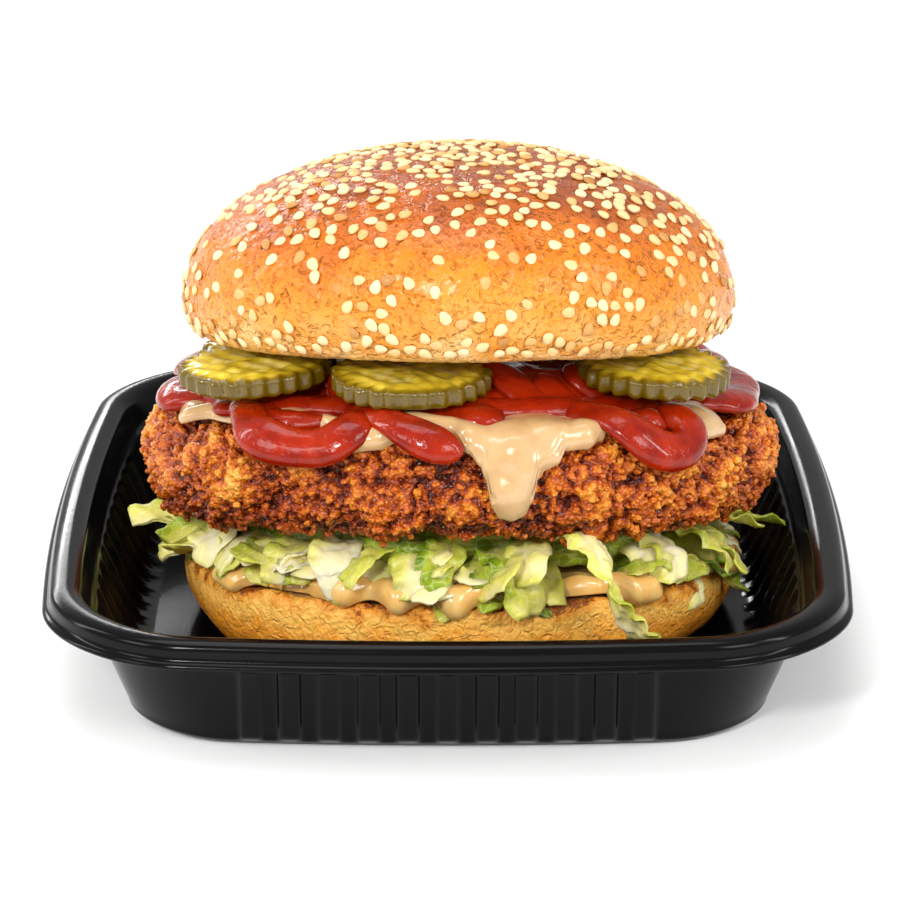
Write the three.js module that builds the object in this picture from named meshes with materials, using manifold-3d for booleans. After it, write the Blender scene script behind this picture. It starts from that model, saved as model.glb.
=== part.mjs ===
// A fried chicken sandwich resting in an open black takeaway tray.
// Millimetres, +Z up. The origin is on the table under the tray's centre, and -Y is the side that is shown.
import * as THREE from "three";
import { mergeVertices } from "three/addons/utils/BufferGeometryUtils.js";
import Module from "manifold-3d";

const wasm = await Module();
wasm.setup();

// ---------------------------------------------------------------- driving dimensions
const TRAY = { width: 152, depth: 161, height: 25, corner: 26, bow: 4.7, sheet: 1 };
const TRAY_BASE = { width: 121, depth: 134, corner: 19, bow: 3 };
const RIB = { count: 11, pitch: 7.45, width: 3.2, flank: 0.7, depth: 1.3 };

const GAP = 0.3; // between pieces that lie on each other
const LIFT = 0.95; // of a sauce off the layer that it lies on, whose facets cross its own
const CENTRE_X = 2.3; // the sandwich sits a little right of the tray's centre
const LEAN = { front: 0.15, back: 0.065, turn: 15 }; // slopes that the layers rise at towards the front
const DROOP = { drop: 3, at: 54 }; // how far they hang at the sides
const BEND = { from: 2, full: 20 }; // heights between which lean and droop set in

const HEEL = { rx: 54, ry: 51, bottom: TRAY.sheet + GAP, lip: 15.6 };
const SAUCE = { pink: 1.8, cream: 1.4, red: 2.2, heap: 5.2 };
const LETTUCE = { bottom: 18.8, top: 26.4, core: 47, strip: 1 };
const PATTY = { rx: 59, ry: 55, bottom: 27, top: 47, crag: 3, knobs: 84, knob: 7 };
const PICKLE = { radius: 14.8, thick: 4.6, ridge: 3.1, wave: 1.1 };
const CROWN = { rx: 52.6, ry: 50.2, bottom: 59.4, height: 32.3, equator: 8 };
const SEED = { count: 36, length: 3.3, width: 2.3, thick: 1.3 };

// ---------------------------------------------------------------- solids and random draws
const lerp = THREE.MathUtils.lerp;
const TAU = Math.PI * 2;
const radians = THREE.MathUtils.degToRad;

// A repeatable stream of numbers from 0 to 1.
function randomStream(seed) {
  let state = seed;
  return () => {
    state = (state * 1664525 + 1013904223) % 4294967296;
    return state / 4294967296;
  };
}

function solidOf(geometry) {
  const bare = new THREE.BufferGeometry();
  bare.setAttribute("position", geometry.getAttribute("position").clone());
  if (geometry.index) bare.setIndex(geometry.index.clone());
  const merged = mergeVertices(bare, 1e-4);
  return new wasm.Manifold(
    new wasm.Mesh({
      numProp: 3,
      vertProperties: merged.attributes.position.array,
      triVerts: new Uint32Array(merged.index.array),
    }),
  );
}

function geometryOf(solid) {
  const mesh = solid.getMesh();
  const geometry = new THREE.BufferGeometry();
  geometry.setAttribute("position", new THREE.BufferAttribute(new Float32Array(mesh.vertProperties), 3));
  geometry.setIndex(new THREE.BufferAttribute(mesh.triVerts, 1));
  geometry.computeVertexNormals();
  return geometry;
}

// The largest piece of a solid, for what a cut leaves over in scraps.
function largest(solid) {
  return solid.decompose().reduce((a, b) => (a.volume() > b.volume() ? a : b));
}

// Moves every vertex by a function of (x, y, z) that returns the new three.
function warp(geometry, move) {
  const position = geometry.getAttribute("position");
  for (let i = 0; i < position.count; i++) {
    position.setXYZ(i, ...move(position.getX(i), position.getY(i), position.getZ(i)));
  }
  return geometry;
}

// Bends a level layer: it rises towards the front and hangs at the sides, the more so the higher it lies.
function lean(x, y, z) {
  const share = THREE.MathUtils.clamp((z - BEND.from) / (BEND.full - BEND.from), 0, 1);
  const { front, back, turn } = LEAN;
  const fall = ((front + back) / 2) * y - ((front - back) / 2) * (Math.hypot(y, turn) - turn);
  const sag = DROOP.drop * (x / DROOP.at) ** 2;
  return [x + CENTRE_X, y, z - share * (fall + sag)];
}

// A round body on the Z axis from a profile of [radius, height] that runs bottom centre, side, top centre.
// shape(angle, radius, z) gives the vertex, before the lean.
function turned(profile, segments, shape) {
  const points = profile.map(([radius, z]) => new THREE.Vector2(radius, z));
  const geometry = new THREE.LatheGeometry(points, segments);
  geometry.rotateX(Math.PI / 2);
  return warp(geometry, (x, y, z) => {
    const radius = Math.hypot(x, y);
    return lean(...shape(Math.atan2(y, x), radius, z));
  });
}

// A strip of leaf: middle(u, v) gives its middle surface for u and v from 0 to 1.
function plate(nu, nv, middle) {
  const positions = [];
  const index = [];
  const step = 1e-3;
  for (const face of [1, -1]) {
    for (let i = 0; i <= nu; i++) {
      for (let j = 0; j <= nv; j++) {
        const [u, v] = [i / nu, j / nv];
        const p = middle(u, v);
        const along = middle(u + step, v).sub(middle(u - step, v));
        const across = middle(u, v + step).sub(middle(u, v - step));
        const normal = along.cross(across).normalize();
        p.addScaledVector(normal, (face * LETTUCE.strip) / 2);
        positions.push(...p.toArray());
      }
    }
  }
  const row = nv + 1;
  const back = (nu + 1) * row;
  for (let i = 0; i < nu; i++) {
    for (let j = 0; j < nv; j++) {
      const a = i * row + j;
      index.push(a, a + row, a + 1, a + 1, a + row, a + row + 1);
      index.push(back + a, back + a + 1, back + a + row, back + a + 1, back + a + row + 1, back + a + row);
    }
  }
  const rim = [];
  for (let i = 0; i < nu; i++) rim.push(i * row);
  for (let j = 0; j < nv; j++) rim.push(nu * row + j);
  for (let i = nu; i > 0; i--) rim.push(i * row + nv);
  for (let j = nv; j > 0; j--) rim.push(j);
  rim.forEach((a, k) => {
    const b = rim[(k + 1) % rim.length];
    index.push(a, back + a, b, b, back + a, back + b);
  });
  const geometry = new THREE.BufferGeometry();
  geometry.setAttribute("position", new THREE.Float32BufferAttribute(positions, 3));
  geometry.setIndex(index);
  return geometry;
}

// ---------------------------------------------------------------- the tray
// One sheet of black plastic, formed into ribbed walls, a ledge, a crowned rim and a stepped lip.

// One closed outline of the tray at an inset from the lip. Each point knows its place t along the outline, from 0 to 4.
function trayLoop(inset, z, ribDepth = null) {
  const baseInset = (TRAY.width - TRAY_BASE.width) / 2;
  const share = Math.min(inset / baseInset, 1);
  const more = Math.max(inset - baseInset, 0);
  const halfWidth = lerp(TRAY.width, TRAY_BASE.width, share) / 2 - more;
  const halfDepth = lerp(TRAY.depth, TRAY_BASE.depth, share) / 2 - more;
  const radius = lerp(TRAY.corner, TRAY_BASE.corner, share) - more * 0.7;
  const bow = lerp(TRAY.bow, TRAY_BASE.bow, share);
  const loop = [];
  for (let side = 0; side < 4; side++) {
    const out = new THREE.Vector2(Math.cos((side * Math.PI) / 2), Math.sin((side * Math.PI) / 2));
    const along = new THREE.Vector2(-out.y, out.x);
    const reach = (side % 2 ? halfDepth : halfWidth) - radius;
    const straight = (side % 2 ? halfWidth : halfDepth) - radius;
    const put = (o, a, t) => {
      const x = out.x * o + along.x * a;
      const y = out.y * o + along.y * a;
      loop.push({
        t,
        x: x - bow * (y / halfDepth) ** 2 * THREE.MathUtils.clamp(x / halfWidth, -1, 1),
        y: y - bow * (x / halfWidth) ** 2 * THREE.MathUtils.clamp(y / halfDepth, -1, 1),
        z,
      });
    };
    const onSide = (a, lift) => put(reach + radius + lift, a, side + 0.35 * (a / straight + 1));
    if (ribDepth === null) {
      for (let i = 0; i < 4; i++) onSide(straight * (i / 2 - 1), 0);
    } else {
      onSide(-straight, 0);
      for (let i = 0; i < RIB.count; i++) {
        const middle = (i - (RIB.count - 1) / 2) * RIB.pitch;
        onSide(middle - RIB.width / 2 - RIB.flank, 0);
        onSide(middle - RIB.width / 2, ribDepth);
        onSide(middle + RIB.width / 2, ribDepth);
        onSide(middle + RIB.width / 2 + RIB.flank, 0);
      }
    }
    const steps = 4;
    for (let i = 0; i < steps; i++) {
      const angle = ((i / steps) * Math.PI) / 2;
      put(
        reach + radius * Math.cos(angle),
        straight + radius * Math.sin(angle),
        side + 0.7 + (0.3 * i) / steps,
      );
    }
  }
  return loop;
}

// Closes a stack of loops into one solid: a fan over the first and the last, and bands between.
function skinLoops(loops) {
  const positions = [];
  const index = [];
  const place = (loop) =>
    loop.map((p) => {
      positions.push(p.x, p.y, p.z);
      return { id: positions.length / 3 - 1, t: p.t };
    });
  const placed = loops.map(place);
  const fan = (ring, z, up) => {
    positions.push(0, 0, z);
    const centre = positions.length / 3 - 1;
    ring.forEach((p, i) => {
      const next = ring[(i + 1) % ring.length];
      index.push(centre, up ? p.id : next.id, up ? next.id : p.id);
    });
  };
  const band = (a, b) => {
    let [i, j] = [0, 0];
    while (i < a.length || j < b.length) {
      const nextA = i + 1 < a.length ? a[i + 1].t : 4;
      const nextB = j + 1 < b.length ? b[j + 1].t : 4;
      const sameCount = a.length === b.length;
      const stepA = j >= b.length || (i < a.length && (sameCount ? i <= j : nextA <= nextB));
      const [pa, pb] = [a[i % a.length].id, b[j % b.length].id];
      if (stepA) {
        index.push(pa, a[(i + 1) % a.length].id, pb);
        i++;
      } else {
        index.push(pb, pa, b[(j + 1) % b.length].id);
        j++;
      }
    }
  };
  fan(placed[0], loops[0][0].z, false);
  placed.slice(1).forEach((ring, i) => band(placed[i], ring));
  fan(placed.at(-1), loops.at(-1)[0].z, true);
  const geometry = new THREE.BufferGeometry();
  geometry.setAttribute("position", new THREE.Float32BufferAttribute(positions, 3));
  geometry.setIndex(index);
  return geometry;
}

function trayGeometry() {
  const top = TRAY.height;
  const sheet = TRAY.sheet;
  const base = (TRAY.width - TRAY_BASE.width) / 2;
  const outside = [
    trayLoop(base + 1.6, 0),
    trayLoop(base + 0.3, 1),
    trayLoop(base, 2.2, RIB.depth),
    trayLoop(9.4, 17.4, RIB.depth),
    trayLoop(8.6, 18.4),
  ];
  const rim = [
    trayLoop(6.9, top - 2),
    trayLoop(2.6, top - 1.7),
    trayLoop(2.3, top - 3.9),
    trayLoop(0.3, top - 4.9),
    trayLoop(0, top - 4.3),
    trayLoop(1.2, top - 3.3),
    trayLoop(1.5, top - 0.8),
    trayLoop(3, top - 0.05),
    trayLoop(5.4, top - 0.1),
    trayLoop(7.3, top - 1.1),
  ];
  const inside = [
    trayLoop(9, 18.5),
    trayLoop(10.1, 17.5),
    trayLoop(10.4, 16.6, RIB.depth),
    trayLoop(base + 0.4, 3.2, RIB.depth),
    trayLoop(base + 2, sheet + 0.2),
    trayLoop(base + 6, sheet),
  ];
  return skinLoops([...outside, ...rim, ...inside]);
}

// ---------------------------------------------------------------- bread
// How far the bun's outline strays from an oval: real buns are a little uneven.
function bunWander(angle) {
  return 1 + 0.006 * Math.cos(2 * angle + 2.4) + 0.008 * Math.cos(3 * angle + 2.6) + 0.005 * Math.cos(5 * angle);
}

// The heel's side, from the floor to its lip: radius as a share of the widest, height as a share of the lip's.
const HEEL_SIDE = [
  [0.84, 0],
  [0.915, 0.08],
  [0.965, 0.26],
  [0.993, 0.5],
  [1, 0.74],
  [0.99, 0.92],
  [0.965, 1],
];

function heelSolid(grow = 0) {
  const height = HEEL.lip - HEEL.bottom;
  const side = HEEL_SIDE.map(([r, h]) => [HEEL.rx * r + grow, HEEL.bottom - grow + (height + 2 * grow) * h]);
  const face = HEEL.lip - 0.9 + grow;
  const profile = [[0, HEEL.bottom - grow], ...side, [HEEL.rx * 0.9, face], [HEEL.rx * 0.5, face], [0, face]];
  const shape = (angle, radius, z) => {
    const r = radius * bunWander(angle + 1);
    return [r * Math.cos(angle), (r * Math.sin(angle) * HEEL.ry) / HEEL.rx, z];
  };
  return solidOf(turned(profile, 28, shape));
}

// The crown's skin: height above the cut face at a share of the radius, a dome flattened on top.
function crownDome(share) {
  return CROWN.equator + (CROWN.height - CROWN.equator) * (1 - share ** 2.4) ** (1 / 2.1);
}

function crownPoint(angle, radius, z) {
  const r = radius * bunWander(angle);
  return [r * Math.cos(angle), (r * Math.sin(angle) * CROWN.ry) / CROWN.rx, z];
}

function crownSolid() {
  const { rx, bottom, equator } = CROWN;
  const profile = [
    [0, bottom + 0.5],
    [rx * 0.87, bottom],
    [rx * 0.935, bottom + equator * 0.12],
    [rx * 0.975, bottom + equator * 0.4],
    [rx * 0.995, bottom + equator * 0.74],
  ];
  const rings = 8;
  for (let i = 0; i <= rings; i++) {
    const share = Math.cos(((i / rings) * Math.PI) / 2);
    profile.push([rx * share, bottom + crownDome(share)]);
  }
  const bread = solidOf(turned(profile, 34, crownPoint));
  return wasm.Manifold.union([bread, ...seeds()]);
}

// Sesame seeds, dense near the top and sparse down the side, each lying flat on the skin.
function seeds() {
  const random = randomStream(11);
  const golden = Math.PI * (3 - Math.sqrt(5));
  return Array.from({ length: SEED.count }, (_, i) => {
    const share = 0.97 * ((i + 0.5) / SEED.count) ** 0.56;
    const angle = i * golden + 0.5 * random();
    const at = (s) =>
      new THREE.Vector3(...lean(...crownPoint(angle, CROWN.rx * s, CROWN.bottom + crownDome(s))));
    const place = at(share);
    const down = at(Math.min(share + 0.02, 0.999)).sub(place).normalize();
    const around = new THREE.Vector3(-Math.sin(angle), Math.cos(angle), 0);
    const out = around.clone().cross(down).negate().normalize();
    if (out.z < 0) out.negate();
    const seed = new THREE.IcosahedronGeometry(0.5, 0);
    seed.scale(SEED.length, SEED.width, SEED.thick);
    seed.rotateZ(random() * TAU);
    seed.applyMatrix4(new THREE.Matrix4().makeBasis(around, out.clone().cross(around), out));
    seed.translate(...place.addScaledVector(out, 0.3).toArray());
    return solidOf(seed);
  });
}

// ---------------------------------------------------------------- fried chicken
// Knobs of crust, spread evenly round the patty's side by the golden angle. Each is [bearing, height, push].
const knobs = (() => {
  const random = randomStream(3);
  return Array.from({ length: PATTY.knobs }, (_, i) => [
    (i * Math.PI * (3 - Math.sqrt(5))) % TAU,
    lerp(PATTY.bottom, PATTY.top, random()),
    0.4 + 0.6 * random(),
  ]);
})();

// How far the crust stands out at a bearing and a height.
function crust(angle, z) {
  let out = 0;
  for (const [bearing, height, push] of knobs) {
    const turn = THREE.MathUtils.euclideanModulo(angle - bearing + Math.PI, TAU) - Math.PI;
    const away = Math.hypot(turn * PATTY.rx, z - height) / PATTY.knob;
    if (away < 1) out = Math.max(out, push * (1 - away * away));
  }
  return PATTY.crag * (out - 0.4);
}

function pattyOutline(angle) {
  return 1 + 0.022 * Math.cos(3 * angle + 1.57) + 0.012 * Math.cos(5 * angle + 0.4) + 0.012 * Math.cos(8 * angle + 1);
}

// Side of the patty without its crags: a share of the radius for each share of the height.
const PATTY_SIDE = [
  [0.8, 0],
  [0.92, 0.04],
  [0.97, 0.16],
  [0.99, 0.3],
  [1, 0.45],
  [1, 0.6],
  [0.985, 0.75],
  [0.95, 0.88],
  [0.89, 0.97],
  [0.8, 1],
];

function pattyPoint(angle, radius, z, grow = 0) {
  const r = radius * pattyOutline(angle) + grow;
  const x = r * Math.cos(angle);
  const y = (r * Math.sin(angle) * PATTY.ry) / PATTY.rx;
  return [x, y, z];
}

// The crust fades out over the flat top and underside.
function crustAt(angle, radius, z) {
  return THREE.MathUtils.smoothstep(radius / PATTY.rx, 0.82, 0.94) * crust(angle, z);
}

function pattySolid(grow = 0) {
  const height = PATTY.top - PATTY.bottom;
  const side = PATTY_SIDE.map(([r, h]) => [PATTY.rx * r, PATTY.bottom - grow + (height + 2 * grow) * h]);
  const profile = [[0, PATTY.bottom - grow], ...side, [PATTY.rx * 0.5, PATTY.top + grow], [0, PATTY.top + grow]];
  const shape = (angle, radius, z) => {
    return pattyPoint(angle, radius + crustAt(angle, radius, z), z, radius > 0 ? grow : 0);
  };
  return solidOf(turned(profile, 60, shape));
}

// ---------------------------------------------------------------- sauces
// The way over a layer's edge, as shares of its radius and height, from the flat top out past the shoulder and
// down the side. It keeps a little outside the layer's own corners.
function rimPath(layer, bottom, top, way) {
  return new THREE.Path(way.map(([r, h]) => new THREE.Vector2(layer.rx * r, lerp(bottom, top, h))));
}

const PATTY_RIM = rimPath(PATTY, PATTY.bottom, PATTY.top, [
  [0.5, 1],
  [0.8, 1.01],
  [0.905, 1.01],
  [0.97, 0.93],
  [1.005, 0.78],
  [1.015, 0.6],
  [1.01, 0.4],
  [0.99, 0.16],
]);
const HEEL_RIM = rimPath(HEEL, HEEL.bottom, HEEL.lip, [
  [0.5, 0.94],
  [0.89, 0.99],
  [0.965, 1.06],
  [1.006, 0.97],
  [1.012, 0.74],
  [1, 0.4],
  [0.96, 0.1],
]);

// A sauce that lies on a layer and sags over its edge. reach(angle) is how far along the rim path it comes, lift how
// far its underside stays off the layer, and heap how much higher it stands at its inner end. It thins at its edge.
function blanket({ rim, reach, lift, thick, point, segments, heap = 0, edge = 0.5 }) {
  const stations = [0, 0.5, 0.78, 0.94];
  const fullness = [1, 1, 1, lerp(edge, 1, 0.6)];
  const length = rim.getLength();
  const at = (angle, travelled, offset) => {
    const u = THREE.MathUtils.clamp(travelled / length, 0, 1);
    const p = rim.getPointAt(u);
    const t = rim.getTangentAt(u);
    return point(angle, p.x - t.y * offset, p.y + t.x * offset);
  };
  const columns = Array.from({ length: segments }, (_, i) => {
    const angle = (i / segments) * TAU;
    const full = reach(angle);
    const under = stations.map((s) => at(angle, s * full, lift));
    const over = stations.map((s, i) => at(angle, s * full, lift + thick * fullness[i] + (i ? 0 : heap)));
    return [...under, at(angle, full, lift + thick * edge), ...over.reverse()];
  });
  const start = rim.getPointAt(0).y + lift;
  const rows = columns[0].length;
  const positions = columns.flat(2).concat(lean(0, 0, start), lean(0, 0, start + thick + heap));
  const [underPole, overPole] = [segments * rows, segments * rows + 1];
  const index = [];
  for (let i = 0; i < segments; i++) {
    const a = i * rows;
    const b = ((i + 1) % segments) * rows;
    index.push(underPole, b, a, overPole, a + rows - 1, b + rows - 1);
    for (let k = 0; k < rows - 1; k++) index.push(a + k, b + k, a + k + 1, a + k + 1, b + k, b + k + 1);
  }
  const geometry = new THREE.BufferGeometry();
  geometry.setAttribute("position", new THREE.Float32BufferAttribute(positions, 3));
  geometry.setIndex(index);
  return solidOf(geometry);
}

// Sum of smooth bumps round a layer, each [bearing in degrees, half its width in degrees, height].
function bumps(angle, list) {
  return list.reduce((sum, [bearing, half, height]) => {
    const away = Math.abs(THREE.MathUtils.euclideanModulo(angle - radians(bearing) + Math.PI, TAU) - Math.PI);
    const t = THREE.MathUtils.clamp(1 - away / radians(half), 0, 1);
    return sum + height * THREE.MathUtils.smoothstep(t, 0, 0.7);
  }, 0);
}

function onPatty(angle, radius, z) {
  const clear = 0.8 * THREE.MathUtils.smoothstep(radius / PATTY.rx, 0.82, 0.94);
  return lean(...pattyPoint(angle, radius + crustAt(angle, radius, z) + clear, z));
}

function onHeel(angle, radius, z) {
  const r = radius * bunWander(angle + 1);
  return lean(r * Math.cos(angle), (r * Math.sin(angle) * HEEL.ry) / HEEL.rx, z);
}

// Cream-coloured sauce straight on the chicken. It shows where the ketchup draws back, and runs down in front.
const CREAM_LOBES = [
  [-87, 14, 6],
  [-82, 8, 9],
  [-66, 9, 6],
  [-108, 10, 6],
  [-147, 10, 6],
  [-31, 9, 6],
  [20, 10, 5],
  [66, 10, 4],
  [122, 11, 4.5],
];

function creamSauce(grow = 0) {
  return blanket({
    rim: PATTY_RIM,
    reach: (angle) => 23.5 + grow + bumps(angle, CREAM_LOBES),
    lift: LIFT - grow,
    thick: SAUCE.cream + 2 * grow,
    point: onPatty,
    segments: 60,
  });
}

// Ketchup piped in loops over it, each loop sagging over the chicken's edge. Inside it is heaped up to the crown.
const KETCHUP_LOBES = [
  [-169, 14, 4],
  [-127, 14, 10.5],
  [-98, 9, 7],
  [-72, 8, 3],
  [-50, 14, 10.5],
  [-12, 13, 3.5],
  [40, 15, 9],
  [94, 16, 9],
  [148, 14, 8],
];

function ketchup() {
  return blanket({
    rim: PATTY_RIM,
    reach: (angle) => 20.5 + bumps(angle, KETCHUP_LOBES),
    lift: LIFT,
    thick: SAUCE.cream + LIFT + SAUCE.red,
    point: onPatty,
    segments: 60,
    heap: SAUCE.heap,
    edge: 0.4,
  });
}

// Pink burger sauce on the heel's cut face, in beads that sag over its lip.
function burgerSauce(grow = 0) {
  const count = 17;
  const beads = Array.from({ length: count }, (_, i) => [(i * 360) / count, 9, 3.5 + 2.5 * Math.sin(i * 2.4)]);
  return blanket({
    rim: HEEL_RIM,
    reach: (angle) => 23.5 + grow + bumps(angle, beads),
    lift: LIFT - grow,
    thick: SAUCE.pink + 2 * grow,
    point: onHeel,
    segments: 56,
  });
}

// ---------------------------------------------------------------- lettuce
// One shred: a ribbon that leaves the heap at a bearing, ruffled across, and droops at its free end.
function shred({ angle, from, length, width, rise, droop, turn = 0, ruffle = 1.2, z }) {
  const middle = (u, v) => {
    const out = from + length * u * Math.cos(turn);
    const aside = length * u * Math.sin(turn);
    const across = (v - 0.5) * width * (1 - 0.35 * u * u);
    const wave = ruffle * Math.sin(u * 7 + angle * 9) * (v - 0.5) * 2 + ruffle * 0.5 * Math.cos(v * 6 + u * 4);
    const height = z + rise * u - droop * u * u * u + wave * 0.6;
    const sideways = aside + across;
    const x = out * Math.cos(angle) - sideways * Math.sin(angle);
    const y = out * Math.sin(angle) + sideways * Math.cos(angle);
    return new THREE.Vector3(...lean(x, (y * HEEL.ry) / HEEL.rx, height));
  };
  return solidOf(plate(5, 2, middle));
}

// The ribbon that hangs down in front of the heel.
function hangingRibbon() {
  const route = new THREE.CatmullRomCurve3(
    [
      [20, -35, LETTUCE.top - 3.4],
      [26.5, -48, LETTUCE.top - 4],
      [29.5, -52, LETTUCE.bottom - 0.4],
      [32, -48.6, 13.4],
      [34.4, -44.2, 9.6],
    ].map((p) => new THREE.Vector3(...p)),
  );
  const across = new THREE.Vector3(0.9, 0.42, 0.12);
  const middle = (u, v) => {
    const p = route.getPoint(THREE.MathUtils.clamp(u, 0, 1));
    p.addScaledVector(across, (v - 0.5) * 6.4);
    p.y -= 0.5 * Math.sin(u * 16) * Math.cos((v - 0.5) * 3);
    return new THREE.Vector3(...lean(p.x, p.y, p.z));
  };
  return solidOf(plate(9, 2, middle));
}

// The packed middle of the heap, with a wavy edge.
function leafCore() {
  const { bottom, top, core } = LETTUCE;
  const profile = [[0, bottom], [core * 0.94, bottom], [core, lerp(bottom, top, 0.5)], [core * 0.92, top], [0, top]];
  const shape = (angle, radius, z) => {
    const r = radius * (1 + 0.05 * Math.cos(7 * angle) + 0.04 * Math.cos(11 * angle + 1));
    return [r * Math.cos(angle), (r * Math.sin(angle) * HEEL.ry) / HEEL.rx, z];
  };
  return solidOf(turned(profile, 30, shape));
}

function lettuceHeap() {
  const random = randomStream(5);
  const { bottom, top } = LETTUCE;
  const core = leafCore();
  const levels = 2;
  const perLevel = 7;
  const shreds = [];
  for (let level = 0; level < levels; level++) {
    for (let i = 0; i < perLevel; i++) {
      shreds.push(
        shred({
          angle: TAU * ((i + level * 0.5 + 0.35 * random()) / perLevel),
          from: 36,
          length: 17 + 6 * random(),
          width: 9 + 5 * random(),
          rise: 1.5 - level * 1.5,
          droop: 2.5 + 2.5 * random(),
          turn: 0.9 * (random() - 0.5),
          z: lerp(bottom + 2.6, top - 2.6, level / (levels - 1)),
        }),
      );
    }
  }
  const tips = [
    { angle: radians(-178), length: 25, width: 10, rise: -2, droop: 1, z: top - 3 },
    { angle: radians(-164), length: 22, width: 11, rise: -2.6, droop: 2.5, z: bottom + 5 },
    { angle: radians(-4), length: 26, width: 9, rise: -1.5, droop: 1.5, z: top - 3.4 },
    { angle: radians(-20), length: 23, width: 9, rise: -2, droop: 3, z: bottom + 5 },
  ].map((tip) => shred({ from: 37, ...tip }));
  return wasm.Manifold.union([core, hangingRibbon(), ...shreds, ...tips]);
}

// ---------------------------------------------------------------- pickles
// A crinkle-cut slice: both faces carry the ridges of the cutter, and the skin is the round edge.
// Its bed, a plain disc a little larger and open upwards, is what it presses into the ketchup.
function pickleSlice({ x, y, z, tiltX, tiltY, spin }, bed = false) {
  const half = PICKLE.radius + 2;
  const outline = new THREE.Shape();
  const steps = Math.ceil((2 * half) / PICKLE.ridge) * 2;
  const wave = (i) => (i % 2 ? PICKLE.wave / 2 : -PICKLE.wave / 2);
  const xs = Array.from({ length: steps + 1 }, (_, i) => -half + (i * PICKLE.ridge) / 2);
  xs.forEach((px, i) => {
    const py = -PICKLE.thick / 2 + wave(i);
    if (i) outline.lineTo(px, py);
    else outline.moveTo(px, py);
  });
  [...xs].reverse().forEach((px, i) => outline.lineTo(px, PICKLE.thick / 2 + wave(steps - i)));
  const slab = new THREE.ExtrudeGeometry(outline, { depth: 2 * half, bevelEnabled: false });
  slab.translate(0, 0, -half);
  slab.rotateX(Math.PI / 2);
  const size = PICKLE.radius + (bed ? GAP : 0);
  const clear = bed ? SAUCE.heap : 0;
  const height = bed ? PICKLE.thick + PICKLE.wave + 2 * GAP + clear : 2 * half;
  const disc = new THREE.CylinderGeometry(size, size - 0.6, height, 22);
  disc.rotateX(Math.PI / 2);
  disc.translate(0, 0, clear / 2);
  const slice = bed ? solidOf(disc) : solidOf(slab).intersect(solidOf(disc));
  const place = new THREE.Matrix4()
    .makeTranslation(...lean(x, y, z))
    .multiply(new THREE.Matrix4().makeRotationFromEuler(new THREE.Euler(radians(tiltX), radians(tiltY), radians(spin))));
  return solidOf(geometryOf(slice).applyMatrix4(place));
}

const PICKLES = [
  { x: -39, y: -26.5, z: 54.8, tiltX: -3, tiltY: -5, spin: 35 },
  { x: -9, y: -34.8, z: 54.7, tiltX: -2, tiltY: 0, spin: 28 },
  { x: 36, y: -27.5, z: 54.6, tiltX: -2, tiltY: 4, spin: 40 },
  { x: -35, y: 4, z: 54.4, tiltX: -8, tiltY: -5, spin: -20 },
];

// ---------------------------------------------------------------- the assembly
const COLOURS = {
  tray: { color: 0x17181a, roughness: 0.38 },
  heel: { color: 0xd8954a, roughness: 0.75 },
  burger_sauce: { color: 0xf0b98a, roughness: 0.3 },
  lettuce: { color: 0xb9cf62, roughness: 0.5 },
  patty: { color: 0xa8581f, roughness: 0.7 },
  cream_sauce: { color: 0xefd3a4, roughness: 0.3 },
  ketchup: { color: 0xa3200c, roughness: 0.2 },
  pickle: { color: 0x8f8a1e, roughness: 0.35 },
  crown: { color: 0xd58a3a, roughness: 0.6 },
};

const sandwich = new THREE.Group();
function add(name, geometry, look = name) {
  const mesh = new THREE.Mesh(geometry, new THREE.MeshStandardMaterial({ metalness: 0, ...COLOURS[look] }));
  mesh.name = name;
  sandwich.add(mesh);
}

const heel = heelSolid();
const patty = pattySolid();
const pattyRoom = pattySolid(GAP);
const heelRoom = heelSolid(GAP);
const beds = wasm.Manifold.union(PICKLES.map((slice) => pickleSlice(slice, true)));
const cream = creamSauce();
const red = largest(ketchup().subtract(beds).subtract(creamSauce(2 * GAP)));
const pink = burgerSauce();
const leaves = largest(lettuceHeap().subtract(heelRoom).subtract(pattyRoom).subtract(burgerSauce(2 * GAP)));

add("tray", trayGeometry());
add("heel", geometryOf(heel));
add("burger_sauce", geometryOf(pink));
add("lettuce", geometryOf(leaves));
add("patty", geometryOf(patty));
add("cream_sauce", geometryOf(cream));
add("ketchup", geometryOf(red));
PICKLES.forEach((slice, i) => add(`pickle_${i + 1}`, geometryOf(pickleSlice(slice)), "pickle"));
add("crown", geometryOf(largest(crownSolid())));

export default sandwich;
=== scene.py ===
# A fried chicken sandwich in an open takeaway tray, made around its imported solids.
# The sections follow the order in which the real thing is put together: tray, heel, sauce, lettuce, chicken,
# sauces, pickles, crown, seeds. Shapes are worked out in millimetres, with -Y as the shown side.
import math

import bmesh
import bpy
import numpy as np
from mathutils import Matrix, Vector, noise


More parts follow.
